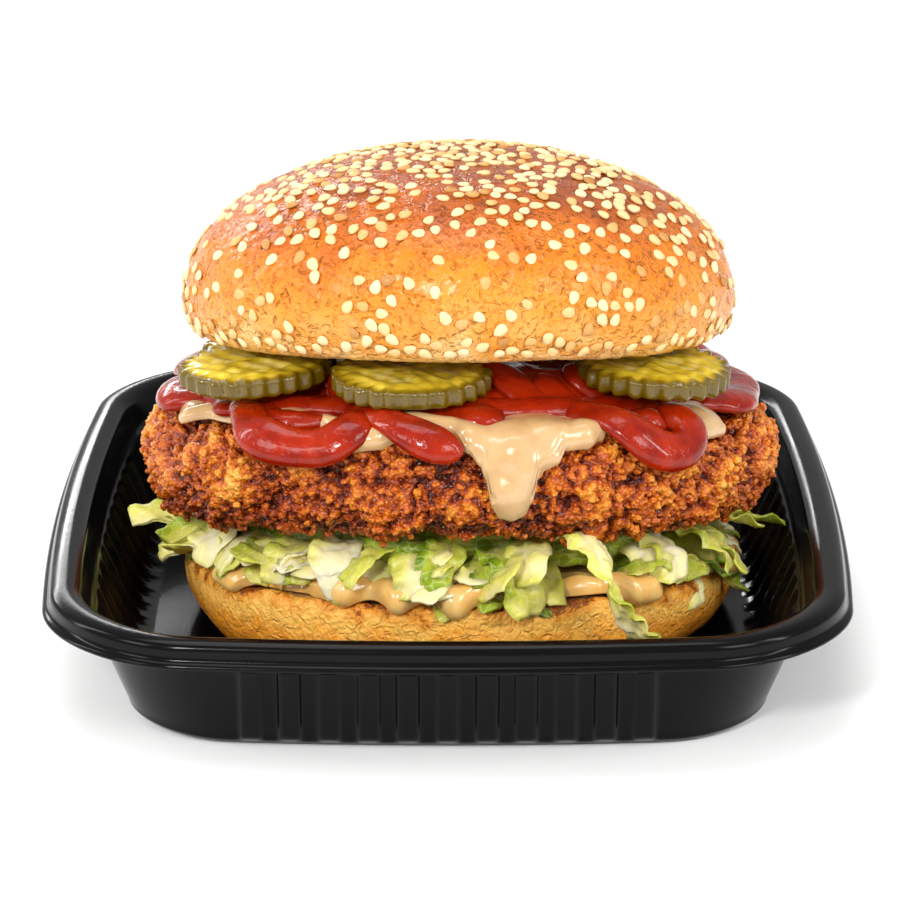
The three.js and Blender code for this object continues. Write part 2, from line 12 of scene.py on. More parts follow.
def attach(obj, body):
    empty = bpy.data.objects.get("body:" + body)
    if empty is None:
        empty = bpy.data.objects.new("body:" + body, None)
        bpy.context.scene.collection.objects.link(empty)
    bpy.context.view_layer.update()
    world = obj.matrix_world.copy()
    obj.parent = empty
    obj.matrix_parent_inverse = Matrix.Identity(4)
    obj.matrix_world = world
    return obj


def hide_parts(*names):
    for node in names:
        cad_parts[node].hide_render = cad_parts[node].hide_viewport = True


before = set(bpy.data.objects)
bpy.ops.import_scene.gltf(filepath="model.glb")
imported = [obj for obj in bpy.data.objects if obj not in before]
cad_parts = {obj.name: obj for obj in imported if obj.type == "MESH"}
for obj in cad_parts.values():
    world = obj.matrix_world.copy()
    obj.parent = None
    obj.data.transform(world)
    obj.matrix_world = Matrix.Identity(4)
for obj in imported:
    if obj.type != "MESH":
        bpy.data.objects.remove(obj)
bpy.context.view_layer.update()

# ---------------------------------------------------------------- tray
# An open takeaway tray of black polypropylene, thermoformed from one sheet: a flat base, ribbed walls, a
# ledge, a smooth band, a crowned rim and a stepped lip. Its finish is satin, with soft bright lines along
# the rim.
MM = 0.001
TAU = 2 * math.pi
TRAY = dict(width=152, depth=161, height=25, corner=26, bow=4.7, sheet=1)
TRAY_BASE = dict(width=121, depth=134, corner=19, bow=3)
RIB = dict(count=11, pitch=7.45, width=3.2, flank=0.9, depth=1.3)


def mesh_piece(name, points, faces, node=None, smooth=True):
    """A mesh object from points in millimetres, riding on the part's one body."""
    mesh = bpy.data.meshes.new(name)
    mesh.from_pydata([tuple(p) for p in np.asarray(points, float) * MM], [], faces)
    mesh.validate()
    piece = bpy.data.objects.new(name, mesh)
    bpy.context.scene.collection.objects.link(piece)
    mesh.shade_smooth() if smooth else mesh.shade_flat()
    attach(piece, "root")
    if node:
        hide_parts(node)
    return piece


def paint(piece, name, values):
    """Stores one number for each vertex, for a material to read."""
    attribute = piece.data.attributes.new(name, "FLOAT", "POINT")
    attribute.data.foreach_set("value", np.asarray(values, np.float32))


def grid_faces(rows, columns, closed=True):
    """Quads between rows of points, each row a ring where closed."""
    faces = []
    last = columns if closed else columns - 1
    for r in range(rows - 1):
        for c in range(last):
            d = (c + 1) % columns
            a, b = r * columns, (r + 1) * columns
            faces.append((a + c, a + d, b + d, b + c))
    return faces


def capped_faces(rows, columns):
    """Quads between closed rows, and triangles from the end rows to the two points that come after them."""
    faces = grid_faces(rows, columns)
    first, last = rows * columns, rows * columns + 1
    for c in range(columns):
        d = (c + 1) % columns
        faces += [(first, d, c), (last, (rows - 1) * columns + c, (rows - 1) * columns + d)]
    return faces


def linear(hex_code):
    """An sRGB hex colour as linear RGBA."""
    channels = [int(hex_code[i : i + 2], 16) / 255 for i in (1, 3, 5)]
    return [*(c / 12.92 if c <= 0.04045 else ((c + 0.055) / 1.055) ** 2.4 for c in channels), 1.0]


def feed(node, inputs):
    """Gives a node's inputs plain values, or links from other nodes' outputs."""
    for key, value in inputs.items():
        if isinstance(value, bpy.types.NodeSocket):
            node.id_data.links.new(value, node.inputs[key])
        else:
            node.inputs[key].default_value = value


def add(tree, kind, inputs, output=0, **settings):
    """Adds one shader node with its settings and its inputs, and gives one of its outputs."""
    made = tree.nodes.new(kind)
    for key, value in settings.items():
        setattr(made, key, value)
    feed(made, inputs)
    return made.outputs[output]


def noise_map(tree, where, size, detail, **more):
    """Cloudy noise whose largest spots are size millimetres across."""
    inputs = {"Vector": where, "Scale": 1 / (size * MM), "Detail": detail, **more}
    return add(tree, "ShaderNodeTexNoise", inputs, "Fac")


def ramp(tree, value, *stops):
    """Colours that follow a value, from stops of a place and a hex colour."""
    made = tree.nodes.new("ShaderNodeValToRGB")
    feed(made, {"Fac": value})
    elements = made.color_ramp.elements
    for i, (place, colour) in enumerate(stops):
        stop = elements[i] if i < 2 else elements.new(place)
        stop.position = place
        stop.color = linear(colour)
    return made.outputs[0]


def remapped(tree, value, low, high, to_low, to_high):
    """A value moved from one range to another."""
    return add(tree, "ShaderNodeMapRange", {"Value": value, "From Min": low, "From Max": high,
                                            "To Min": to_low, "To Max": to_high}, "Result")


def bump(tree, height, strength, depth, **settings):
    """A bumped normal, for a relief of depth millimetres."""
    inputs = {"Height": height, "Strength": strength, "Distance": depth * MM}
    return add(tree, "ShaderNodeBump", inputs, "Normal", **settings)


def new_material(name, glow=None, **shader):
    """A material with one principled shader, whose plain inputs are given by name.

    glow is the share of light that goes below the surface, and how many millimetres red, green and blue go.
    """
    if glow:
        shader.update(Subsurface_Weight=glow[0], Subsurface_Radius=[reach * MM for reach in glow[1:]],
                      Subsurface_Scale=1.0)
    made = bpy.data.materials.new(name)
    made.use_nodes = True
    tree = made.node_tree
    tree.nodes.clear()
    surface = tree.nodes.new("ShaderNodeBsdfPrincipled")
    feed(surface, {key.replace("_", " "): value for key, value in shader.items()})
    feed(tree.nodes.new("ShaderNodeOutputMaterial"), {"Surface": surface.outputs["BSDF"]})
    return made, tree, surface, add(tree, "ShaderNodeTexCoord", {}, "Object")


def smoothstep(low, high, x):
    """0 up to low, 1 from high on, and a smooth step between them."""
    t = np.clip((x - low) / (high - low), 0, 1)
    return t * t * (3 - 2 * t)


def filleted(profile, radius, steps=4):
    """A profile of rows with its corners rounded: each corner becomes a short curve."""
    points = [np.array(p, float) for p in profile]
    out = [points[0]]
    for before, corner, after in zip(points, points[1:], points[2:]):
        back, ahead = before - corner, after - corner
        cut_back = min(radius, 0.45 * np.linalg.norm(back[:2])) / np.linalg.norm(back[:2])
        cut_ahead = min(radius, 0.45 * np.linalg.norm(ahead[:2])) / np.linalg.norm(ahead[:2])
        start, end = corner + back * cut_back, corner + ahead * cut_ahead
        for i in range(steps + 1):
            t = i / steps
            out.append((1 - t) ** 2 * start + 2 * t * (1 - t) * corner + t * t * end)
    out.append(points[-1])
    return out


def tray_ring(inset, z, ribbed):
    """One closed ring of the tray at an inset from its lip; ribbed is how much of the ribs' depth shows."""
    base_inset = (TRAY["width"] - TRAY_BASE["width"]) / 2
    share = min(inset / base_inset, 1)
    more = max(inset - base_inset, 0)
    mix = lambda key: TRAY[key] + (TRAY_BASE[key] - TRAY[key]) * share
    half_width, half_depth = mix("width") / 2 - more, mix("depth") / 2 - more
    radius, bow = mix("corner") - more * 0.7, mix("bow")
    rib_span = RIB["pitch"] * (RIB["count"] - 1) / 2 + RIB["width"] / 2 + RIB["flank"]
    along = np.linspace(-rib_span, rib_span, RIB["count"] * 12 + 1)
    pitch, half_rib = RIB["pitch"], RIB["width"] / 2
    away = np.abs((along + pitch * (RIB["count"] // 2) + pitch / 2) % pitch - pitch / 2)
    lift = RIB["depth"] * ribbed * (1 - smoothstep(half_rib, half_rib + RIB["flank"], away))
    ring = []
    for side in range(4):
        reach = (half_depth if side % 2 else half_width) - radius
        straight = (half_width if side % 2 else half_depth) - radius
        ends = np.linspace(rib_span, straight, 6)[1:]
        a = np.concatenate([-ends[::-1], along, ends])
        o = reach + radius + np.concatenate([np.zeros(5), lift, np.zeros(5)])
        turn = np.linspace(0, math.pi / 2, 22)[1:-1]
        a = np.concatenate([a, straight + radius * np.sin(turn)])
        o = np.concatenate([o, reach + radius * np.cos(turn)])
        c, s = round(math.cos(side * math.pi / 2)), round(math.sin(side * math.pi / 2))
        x, y = c * o - s * a, s * o + c * a
        ring.append(np.stack([
            x - bow * (y / half_depth) ** 2 * np.clip(x / half_width, -1, 1),
            y - bow * (x / half_width) ** 2 * np.clip(y / half_depth, -1, 1),
            np.full(len(x), float(z)),
        ], 1))
    return np.concatenate(ring)


top, base = TRAY["height"], (TRAY["width"] - TRAY_BASE["width"]) / 2
tray_profile = filleted([
    (base + 24, 0, 0), (base + 1.6, 0, 0), (base, 1.2, 0), (base - 0.2, 2.2, 1), (9.5, 17.2, 1),
    (9.3, 17.8, 0),
    (8.6, 18.6, 0), (6.9, top - 2, 0), (2.6, top - 1.7, 0), (2.3, top - 3.9, 0), (0.3, top - 4.9, 0),
    (0, top - 4.4, 0), (0.25, top - 3.9, 0), (1.25, top - 3.35, 0), (1.45, top - 0.9, 0), (3, top - 0.05, 0),
    (5.4, top - 0.1, 0), (7.3, top - 1.1, 0), (8.9, 18.7, 0), (10.1, 17.6, 0), (10.4, 16.7, 1),
    (base + 0.4, 3.4, 1), (base + 1.2, 1.9, 0.6), (base + 3, 1.1, 0), (base + 24, 1.1, 0),
], radius=0.9)
rings = [tray_ring(inset, z, ribbed) for inset, z, ribbed in tray_profile]
points = np.concatenate([*rings, [[0, 0, 0], [0, 0, 1.1]]])
tray = mesh_piece("tray_shell", points, capped_faces(len(rings), len(rings[0])), "tray")

black, tree, surface, where = new_material("black_polypropylene", Base_Color=linear("#070708"), Metallic=0.0,
                                           IOR=1.49, Specular_IOR_Level=0.13)
# Sheet that was drawn over a mould is faintly wavy, and handling leaves it duller in cloudy patches.
feed(surface, {"Roughness": remapped(tree, noise_map(tree, where, 18, 4.0), 0.3, 0.7, 0.12, 0.22),
               "Normal": bump(tree, noise_map(tree, where, 1.2, 3.0), 0.06, 0.2)})
tray.data.materials.append(black)

# ---------------------------------------------------------------- heel
# The lower half of a soft bun: enriched bread, baked on its flat side, so golden brown with a paler waist.
# It was cut and toasted, which leaves a rough lip with a browned edge and a cream-coloured crumb.
GAP = 0.3
CENTRE_X = 2.3
LEAN = dict(front=0.15, back=0.065, turn=15)
DROOP = dict(drop=3, at=54)
BEND = dict(start=2, full=20)
HEEL = dict(rx=54, ry=51, bottom=TRAY["sheet"] + GAP, lip=15.6)


def lean(x, y, z):
    """Bends a level layer: it rises towards the front and hangs at the sides, more so higher up."""
    share = np.clip((z - BEND["start"]) / (BEND["full"] - BEND["start"]), 0, 1)
    mean, half = (LEAN["front"] + LEAN["back"]) / 2, (LEAN["front"] - LEAN["back"]) / 2
    fall = mean * y - half * (np.hypot(y, LEAN["turn"]) - LEAN["turn"])
    sag = DROOP["drop"] * (x / DROOP["at"]) ** 2
    return np.stack([x + CENTRE_X, y, z - share * (fall + sag)], -1)


def bun_wander(angle):
    """How far the bun's outline strays from an oval."""
    return 1 + 0.006 * np.cos(2 * angle + 2.4) + 0.008 * np.cos(3 * angle + 2.6) + 0.005 * np.cos(5 * angle)


def waves(points, size, octaves=3, seed=0):
    """Smooth noise at each point, about -1 to 1, whose largest waves are size millimetres across."""
    shift = Vector((seed * 17.3, seed * 5.1, seed * 9.7))
    return np.array([noise.fractal(Vector(p) / size + shift, 1.0, 2.0, octaves) for p in points])


def travelled(line):
    """The distance along a line at each of its points."""
    return np.concatenate([[0], np.cumsum(np.linalg.norm(np.diff(line, axis=0), axis=1))])


def resampled(profile, spacing):
    """A profile of [radius, height] with points about spacing apart on the same line."""
    profile = np.array(profile, float)
    length = travelled(profile)
    at = np.linspace(0, length[-1], int(length[-1] / spacing) + 1)
    return np.stack([np.interp(at, length, profile[:, i]) for i in range(2)], 1)


def turned(profile, columns):
    """Angles, radii and heights of a round body's grid, one row for each point of its profile."""
    angle = np.arange(columns) / columns * TAU
    grid_angle, radius = np.meshgrid(angle, profile[:, 0])
    height = np.repeat(profile[:, 1][:, None], columns, 1)
    return grid_angle, radius, height


def normals_of(grid):
    """Outward unit normals of a closed grid whose rows run from the bottom centre to the top."""
    along = np.gradient(grid, axis=0)
    around = np.roll(grid, -1, 1) - np.roll(grid, 1, 1)
    normal = np.cross(around, along)
    return normal / (np.linalg.norm(normal, axis=-1, keepdims=True) + 1e-9)


def smooth_curve(profile, steps=6):
    """A rounded line through the profile's points, by Catmull and Rom's rule with chord lengths."""
    p = np.array(profile, float)
    p = np.concatenate([[2 * p[0] - p[1]], p, [2 * p[-1] - p[-2]]])
    out = []
    for i in range(1, len(p) - 2):
        t0, t1 = 0, math.sqrt(np.linalg.norm(p[i] - p[i - 1]))
        t2 = t1 + math.sqrt(np.linalg.norm(p[i + 1] - p[i]))
        t3 = t2 + math.sqrt(np.linalg.norm(p[i + 2] - p[i + 1]))
        for t in np.linspace(t1, t2, steps, endpoint=False):
            a1 = (t1 - t) / (t1 - t0) * p[i - 1] + (t - t0) / (t1 - t0) * p[i]
            a2 = (t2 - t) / (t2 - t1) * p[i] + (t - t1) / (t2 - t1) * p[i + 1]
            a3 = (t3 - t) / (t3 - t2) * p[i + 1] + (t - t2) / (t3 - t2) * p[i + 2]
            b1 = (t2 - t) / (t2 - t0) * a1 + (t - t0) / (t2 - t0) * a2
            b2 = (t3 - t) / (t3 - t1) * a2 + (t - t1) / (t3 - t1) * a3
            out.append((t2 - t) / (t2 - t1) * b1 + (t - t1) / (t2 - t1) * b2)
    return np.array([*out, p[-2]])


def bread_piece(name, profile, columns, outline, oval, relief, node):
    """A round piece of bread: the profile turned, bent with the layers, and roughened along its normals."""
    angle, radius, height = turned(profile, columns)
    r = radius * outline(angle)
    grid = lean(r * np.cos(angle), r * np.sin(angle) * oval, height)
    flat = grid.reshape(-1, 3)
    normal = normals_of(grid).reshape(-1, 3)
    fade = smoothstep(0, 6, radius).reshape(-1, 1)
    push = relief(flat, radius.reshape(-1), height.reshape(-1)).reshape(-1, 1)
    points = flat + normal * push * fade
    return mesh_piece(name, points, grid_faces(len(profile), columns), node), radius, height


HEEL_SIDE = [(0.84, 0), (0.915, 0.08), (0.965, 0.26), (0.993, 0.5), (1, 0.74), (0.99, 0.92), (0.965, 1)]
span = HEEL["lip"] - HEEL["bottom"]
heel_side = [(HEEL["rx"] * r, HEEL["bottom"] + span * h) for r, h in HEEL_SIDE]
heel_face = HEEL["lip"] - 0.9
heel_profile = np.concatenate([
    [(0.05, HEEL["bottom"]), (HEEL["rx"] * 0.8, HEEL["bottom"])],
    smooth_curve(heel_side),
    [(HEEL["rx"] * 0.945, HEEL["lip"] - 0.3), (HEEL["rx"] * 0.9, heel_face), (0.05, heel_face)],
])


def heel_relief(points, radius, height):
    # Fine wrinkles on the baked skin, coarser torn crumb at the lip and on the cut face.
    cut = smoothstep(HEEL["lip"] - 2.2, HEEL["lip"] - 0.6, height)
    skin = 0.4 * waves(points, 14, 2, 1) - 0.4 * np.abs(waves(points * [1, 1, 1.6], 3.4, 4, 2))
    crumb = 0.7 * waves(points, 3.2, 4, 3)
    return skin * (1 - cut) + crumb * cut


heel, radius, height = bread_piece("heel_bread", resampled(heel_profile, 0.75), 420,
                                   lambda a: bun_wander(a + 1), HEEL["ry"] / HEEL["rx"], heel_relief,
                                   "heel")
paint(heel, "rise", ((height - HEEL["bottom"]) / span).reshape(-1))
paint(heel, "outside", smoothstep(0.9, 0.955, radius.reshape(-1) / HEEL["rx"]))


def stored(tree, name):
    """The value that paint() stored under a name."""
    return add(tree, "ShaderNodeAttribute", {}, "Fac", attribute_name=name)


def mottled(tree, value, spots, strength):
    """A value made uneven by noise, by up to half the strength either way."""
    uneven = add(tree, "ShaderNodeMath", {0: spots, 1: strength, 2: -strength / 2}, operation="MULTIPLY_ADD")
    return add(tree, "ShaderNodeMath", {0: value, 1: uneven}, operation="ADD")


def mixed(tree, share, first, second):
    """The first colour where the share is 0, the second where it is 1."""
    return add(tree, "ShaderNodeMix", {"Factor": share, "A": first, "B": second}, "Result", data_type="RGBA")


heel_bread, tree, surface, where = new_material("toasted_bun_heel", glow=(0.05, 1.5, 0.9, 0.5),
                                                Roughness=0.4, IOR=1.45)
# Mottling of about 5 mm, and fine pores of under 1 mm that read as crumb.
mottle = noise_map(tree, where, 6, 7.0, Roughness=0.7)
pores = noise_map(tree, where, 1.6, 4.0, Distortion=1.2)
baked = ramp(tree, mottled(tree, stored(tree, "rise"), mottle, 0.9), (0.0, "#DE7C12"), (0.28, "#F29020"),
             (0.55, "#FFA430"), (0.8, "#FFC258"), (0.95, "#EA9426"), (1.0, "#984E10"))
crumb = ramp(tree, mottle, (0.25, "#F3DCAE"), (0.55, "#E2B878"), (0.8, "#B9783A"))
feed(surface, {"Base Color": mixed(tree, stored(tree, "outside"), crumb, baked),
               "Normal": bump(tree, pores, 1.0, 1.1)})
heel.data.materials.append(heel_bread)

# ---------------------------------------------------------------- burger sauce
# Peach-coloured burger sauce, an emulsion spread on the toasted face: it is opaque, glossy and thick, and it
# swells over the lip in round beads where the weight above has pressed it out.
HEEL_RIM = [
    (0.0, 0.94), (0.5, 0.94), (0.89, 0.99), (0.965, 1.04), (1.0, 0.97), (1.008, 0.74), (1, 0.4), (0.96, 0.1),
]
PINK_EDGE = [
    (-180, 50), (-154, 51), (-148, 54.5), (-141, 55), (-135, 51), (-126, 50), (-119, 53), (-113, 54.5),
    (-108, 52.2), (-102, 55.2), (-97, 53), (-91, 55.8), (-86, 53.5), (-80, 52), (-70, 51), (-60, 51.5),
    (-53, 55.5), (-48, 55.5), (-43, 52), (-30, 51), (-12, 51), (-4, 54), (6, 52), (30, 51), (44, 54),
    (55, 52), (80, 54.5), (92, 52), (118, 55), (128, 52), (150, 51),
]


def edge_line(stations):
    """A smooth closed edge through stations of an angle in degrees and a reach in millimetres."""
    at = np.radians([s[0] for s in stations])
    reach = np.array([s[1] for s in stations], float)

    def edge(angle):
        turned_angle = (angle + math.pi) % TAU - math.pi
        i = np.clip(np.searchsorted(at, turned_angle, side="right") - 1, 0, len(at) - 1)
        j = (i + 1) % len(at)
        gap = (at[j] - at[i]) % TAU
        t = ((turned_angle - at[i]) % TAU) / gap
        return reach[i] + (reach[j] - reach[i]) * t * t * (3 - 2 * t)
    return edge


def draped(profile, angle, along, offset, outline, oval, size):
    """Points on a round body, at distances along its profile from the centre and an offset above it."""
    line = smooth_curve([(r * size[0], size[1] + h * size[2]) for r, h in profile], 8)
    length = travelled(line)
    r, h = (np.interp(along, length, line[:, i]) for i in range(2))
    r2, h2 = (np.interp(along + 0.5, length, line[:, i]) for i in range(2))
    run = np.hypot(r2 - r, h2 - h) + 1e-9
    r, h = r + (h - h2) / run * offset, h + (r2 - r) / run * offset
    r = r * outline(angle)
    return lean(r * np.cos(angle), r * np.sin(angle) * oval, h)


def sauce_piece(name, body, edge, thick, columns, node, seed, round_edge=2.2, extra=None):
    """A poured sauce that follows a round body to its edge line, where it ends in a rounded bead."""
    angle = np.arange(columns) / columns * TAU
    reach = edge(angle)
    # Rows of points get closer towards the edge, where the bead turns round.
    share = np.concatenate([np.linspace(0.01, 0.62, 12),
                            0.62 + 0.38 * np.sin(np.linspace(0, math.pi / 2, 44)[1:])])
    along = share[:, None] * reach
    turned_angle = np.broadcast_to(angle, along.shape)
    edge_x, edge_y = reach * np.cos(angle), reach * np.sin(angle)
    depth = np.array([np.hypot(edge_x[:, None] - row * np.cos(angle),
                               edge_y[:, None] - row * np.sin(angle)).min(0)
                      for row in along])
    bead = np.sqrt(np.clip(1 - (1 - np.clip(depth / round_edge, 0, 1)) ** 2, 0, 1))
    swell = 1 + 0.3 * np.exp(-(((depth - round_edge) / (1.4 * round_edge)) ** 2))
    flat = np.stack([along * np.cos(turned_angle), along * np.sin(turned_angle), 0 * along], -1)
    uneven = 1 + 0.28 * waves(flat.reshape(-1, 3), 7, 2, seed).reshape(along.shape)
    height = thick * bead * swell * uneven
    if extra:
        height = height + extra(along, turned_angle) * bead
    above = draped(angle=turned_angle, along=along, offset=height, **body)
    under_share = share[::-3]
    under = draped(angle=np.broadcast_to(angle, (len(under_share), columns)),
                   along=under_share[:, None] * reach,
                   offset=-0.2, **body)
    rows = np.concatenate([above, under])
    points = np.concatenate([rows.reshape(-1, 3), rows[:1].mean(1), rows[-1:].mean(1)])
    return mesh_piece(name, points, [f[::-1] for f in capped_faces(len(rows), columns)], node)


heel_body = dict(profile=HEEL_RIM, outline=lambda a: bun_wander(a + 1), oval=HEEL["ry"] / HEEL["rx"],
                 size=(HEEL["rx"], HEEL["bottom"], span))
pink = sauce_piece("burger_sauce_spread", heel_body, edge_line(PINK_EDGE), thick=2.1, columns=640,
                   node="burger_sauce", seed=4)


def emulsion(name, colour, streak, glow):
    """A wet, opaque emulsion sauce: smooth and glossy, with faint streaks where it was squeezed."""
    made, tree, surface, where = new_material(name, glow=(glow, 2.0, 1.2, 0.7), Roughness=0.16, IOR=1.45,
                                              Coat_Weight=0.5, Coat_Roughness=0.06)
    feed(surface, {"Base Color": ramp(tree, noise_map(tree, where, 6, 3.0), (0.35, colour), (0.7, streak)),
                   "Normal": bump(tree, noise_map(tree, where, 2.2, 2.0), 0.25, 0.5)})
    return made


pink.data.materials.append(emulsion("burger_sauce_emulsion", "#EAB25C", "#F6CE84", 0.2))

# ---------------------------------------------------------------- lettuce
# Iceberg lettuce, shredded by knife into pieces 6 to 12 mm wide: crisp, damp and thin, blistered between
# their veins, pale inside and green at the ruffled edge. They lie in a springy heap, and one strip hangs
# over the heel.
LETTUCE = dict(bottom=18.8, top=26.4, core=45, oval=0.96, pieces=118, blister=2.6, half_thick=0.38)
GOLDEN_ANGLE = math.pi * (3 - math.sqrt(5))
GOLDEN_RATIO = 0.618
rng = np.random.default_rng(11)


def leaf_piece(path, width, roll, twist, cup, ruffle, phase, tone, slant=0.0, taper=0.75,
               rows=25, across=13):
    """A cut piece of leaf along a path, its outer edge ruffled and its ends cut at a slant."""
    t, u = np.meshgrid(np.linspace(0, 1, rows), np.linspace(-1, 1, across), indexing="ij")
    ahead = np.gradient(path, axis=0)
    step = np.linalg.norm(ahead, axis=1)
    ahead /= step[:, None]
    flat_side = np.cross(ahead, [0, 0, 1.0])
    flat_side /= np.linalg.norm(flat_side, axis=1, keepdims=True) + 1e-9
    up = np.cross(flat_side, ahead)
    turn = roll + twist * np.linspace(0, 1, len(path))
    side = flat_side * np.cos(turn)[:, None] + up * np.sin(turn)[:, None]
    normal = np.cross(side, ahead)
    length = np.concatenate([[0], np.cumsum(step[1:])])
    at = np.clip(t * (1 + slant * u * width / 2 / length[-1]), 0, 1) * (len(path) - 1)

    def pick(values):
        low = np.minimum(at.astype(int), len(path) - 2)
        share = (at - low)[..., None]
        return values[low] * (1 - share) + values[low + 1] * share
    along = at / (len(path) - 1) * length[-1]
    half = width / 2 * (1 - (1 - taper) * (2 * t - 1) ** 4) * (1 + 0.07 * np.sin(along * 0.9 + phase))
    outer = smoothstep(0.1, 1, u)
    lift = cup * width * 0.1 * (u * u - 0.3)
    lift = lift + ruffle * outer * np.sin(along * 1.15 + phase)
    lift = lift + 0.3 * ruffle * np.sin(along * 2.6 + 2 * phase) * outer
    centre = pick(path) + pick(side) * (u * half * (1 - 0.1 * ruffle * outer))[..., None]
    centre = centre + pick(normal) * lift[..., None]
    # Blisters between the veins rise and sink by up to 0.4 mm.
    spots = centre.reshape(-1, 3) + phase * 20
    blister = domes(spots, LETTUCE["blister"], 40, 0.62).reshape(t.shape)
    centre = centre + pick(normal) * (0.75 * (blister - 0.5))[..., None]
    rim_thin = (1 - 0.8 * np.abs(u) ** 5) * (1 - 0.7 * np.abs(2 * t - 1) ** 12)
    body = pick(normal) * (LETTUCE["half_thick"] * rim_thin)[..., None]
    points = np.concatenate([(centre + body).reshape(-1, 3), (centre - body).reshape(-1, 3)])
    faces = grid_faces(rows, across, closed=False)
    count = rows * across
    faces += [tuple(count + i for i in f[::-1]) for f in faces]
    rim = [*range(across), *(r * across + across - 1 for r in range(1, rows)),
           *((rows - 1) * across + c for c in range(across - 2, -1, -1)),
           *(r * across for r in range(rows - 2, 0, -1))]
    faces += [(b, a, count + a, count + b) for a, b in zip(rim, rim[1:] + rim[:1])]
    green = tone + 0.3 * outer + 0.16 * (blister - 0.5) + 0.12 * np.sin(along * 0.35 + phase)
    green = np.clip(green, 0, 1).reshape(-1)
    return points, faces, np.concatenate([green, green])


def domes(points, size, seed, spread=0.8):
    """Round lumps of about size millimetres: 1 on their tops, 0 in the sharp pits between them."""
    shift = Vector((seed * 13.1, seed * 7.7, seed * 3.3))
    near = np.array([noise.voronoi(Vector(p) / size + shift)[0][0] for p in points])
    return np.sqrt(np.clip(1 - (near / spread) ** 2, 0, 1))


def leaf_path(angle, radius, height, length, yaw, pitch, droop, rows=24):
    """The middle line of a piece that starts in the heap and leans outwards and down."""
    heading = angle + yaw * np.linspace(0.5, 1, rows)
    slope = pitch - droop * np.linspace(0, 1, rows) ** 1.3
    step = length / (rows - 1)
    x = radius * math.cos(angle) + np.cumsum(np.cos(heading) * np.cos(slope)) * step
    y = (radius * math.sin(angle) + np.cumsum(np.sin(heading) * np.cos(slope)) * step) * LETTUCE["oval"]
    z = height + np.cumsum(np.sin(slope)) * step
    return lean(x, y, z)


leaves = []
for i in range(LETTUCE["pieces"]):
    angle = i * GOLDEN_ANGLE + rng.uniform(-0.15, 0.15)
    level = (i * GOLDEN_RATIO) % 1
    if -70 < (math.degrees(angle) + 180) % 360 - 180 < -47:
        continue  # The strip that hangs over the heel has this place.
    inner = rng.uniform(38, 43)
    yaw = rng.choice([-1, 1]) * rng.uniform(0.1, 1.45)
    reach = 54.8 + rng.uniform(-2.5, 1.5)
    length = min(rng.uniform(13, 20), (reach - inner) / max(math.cos(yaw * 0.8), 0.42))
    path = leaf_path(angle, inner, LETTUCE["bottom"] + 0.2 + 7.4 * level, length, yaw,
                     rng.uniform(-0.25, 0.15), rng.uniform(0.1, 0.9) * (1.1 - 0.5 * level))
    leaves.append(leaf_piece(path, rng.uniform(6, 12), rng.uniform(-0.35, 0.35), rng.uniform(-0.7, 0.7),
                             rng.uniform(-1, 1), rng.uniform(0.3, 1.0), rng.uniform(0, 6),
                             rng.choice([0.0, 0.12, 0.3, 0.5, 0.68]) + rng.uniform(-0.08, 0.08),
                             rng.uniform(-0.9, 0.9)))
# In front, larger pieces droop over the heel's lip.
for angle, yaw, length, width, droop, tone in (
        (-156, 0.2, 15, 11, 1.2, 0.25), (-141, -0.3, 15, 9, 1.3, 0.45), (-132, 0.5, 14, 10, 1.1, 0.3),
        (-119, 0.3, 16, 10, 1.5, 0.02), (-108, -0.5, 14, 9, 1.1, 0.5), (-100, 0.3, 15, 12, 1.3, 0.3),
        (-91, -0.6, 15, 8, 1.2, 0.7), (-83, 0.6, 17, 10, 1.5, 0.55), (-74, -0.4, 15, 9, 1.1, 0.4),
        (-47, 0.3, 15, 9, 1.1, 0.08), (-41, -0.3, 16, 9, 1.4, 0.35), (-26, 0.1, 16, 10, 1.3, 0.3)):
    height = LETTUCE["bottom"] + rng.uniform(3.5, 6)
    path = leaf_path(math.radians(angle), 42.5, height, length, yaw, 0.1, droop)
    leaves.append(leaf_piece(path, width, rng.uniform(-0.3, 0.3), rng.uniform(-0.4, 0.4), rng.uniform(-1, 1),
                             rng.uniform(0.5, 1.1), angle, tone, slant=rng.uniform(-1, 1), taper=0.6))
# Pointed tips stick out at the left and right.
for angle, level, length, yaw, droop, width in (
        (-178, 6.2, 20, 0.10, 0.15, 10), (-165, 3.2, 17, -0.35, 0.75, 11), (-172, 4.6, 15, 0.5, 0.5, 9),
        (-5, 6.0, 19, 0.05, 0.1, 9), (-19, 4.4, 17, -0.15, 0.9, 9), (-12, 6.6, 15, 0.4, 0.3, 8)):
    path = leaf_path(math.radians(angle), 43, LETTUCE["bottom"] + level, length, yaw, -0.05, droop)
    leaves.append(leaf_piece(path, width, 0.15, 0.25, 0.6, 0.6, angle, 0.42, slant=1.5, taper=0.15))
HANGING = [
    (20, -38, 31.5), (25, -48.0, 33.4), (28.6, -52.6, 29.5), (31.2, -53.2, 22.8), (34.0, -52.2, 18.0),
    (36.8, -50.4, 13.4),
]
hang = smooth_curve([p[:2] for p in HANGING], 9)
hang = np.column_stack([hang, np.interp(np.linspace(0, 1, len(hang)), np.linspace(0, 1, len(HANGING)),
                                        [p[2] for p in HANGING])])
leaves.append(leaf_piece(hang, 8.2, 0.25, 0.1, -0.9, 0.8, 1.0, 0.26, slant=0.5, taper=0.9,
                         rows=48, across=17))


def joined(parts):
    """Many small meshes put together: points, faces and one value for each point."""
    points, faces, values, start = [], [], [], 0
    for part_points, part_faces, part_values in parts:
        points.append(part_points)
        faces += [tuple(start + i for i in f) for f in part_faces]
        values.append(part_values)
        start += len(part_points)
    return np.concatenate(points), faces, np.concatenate(values)


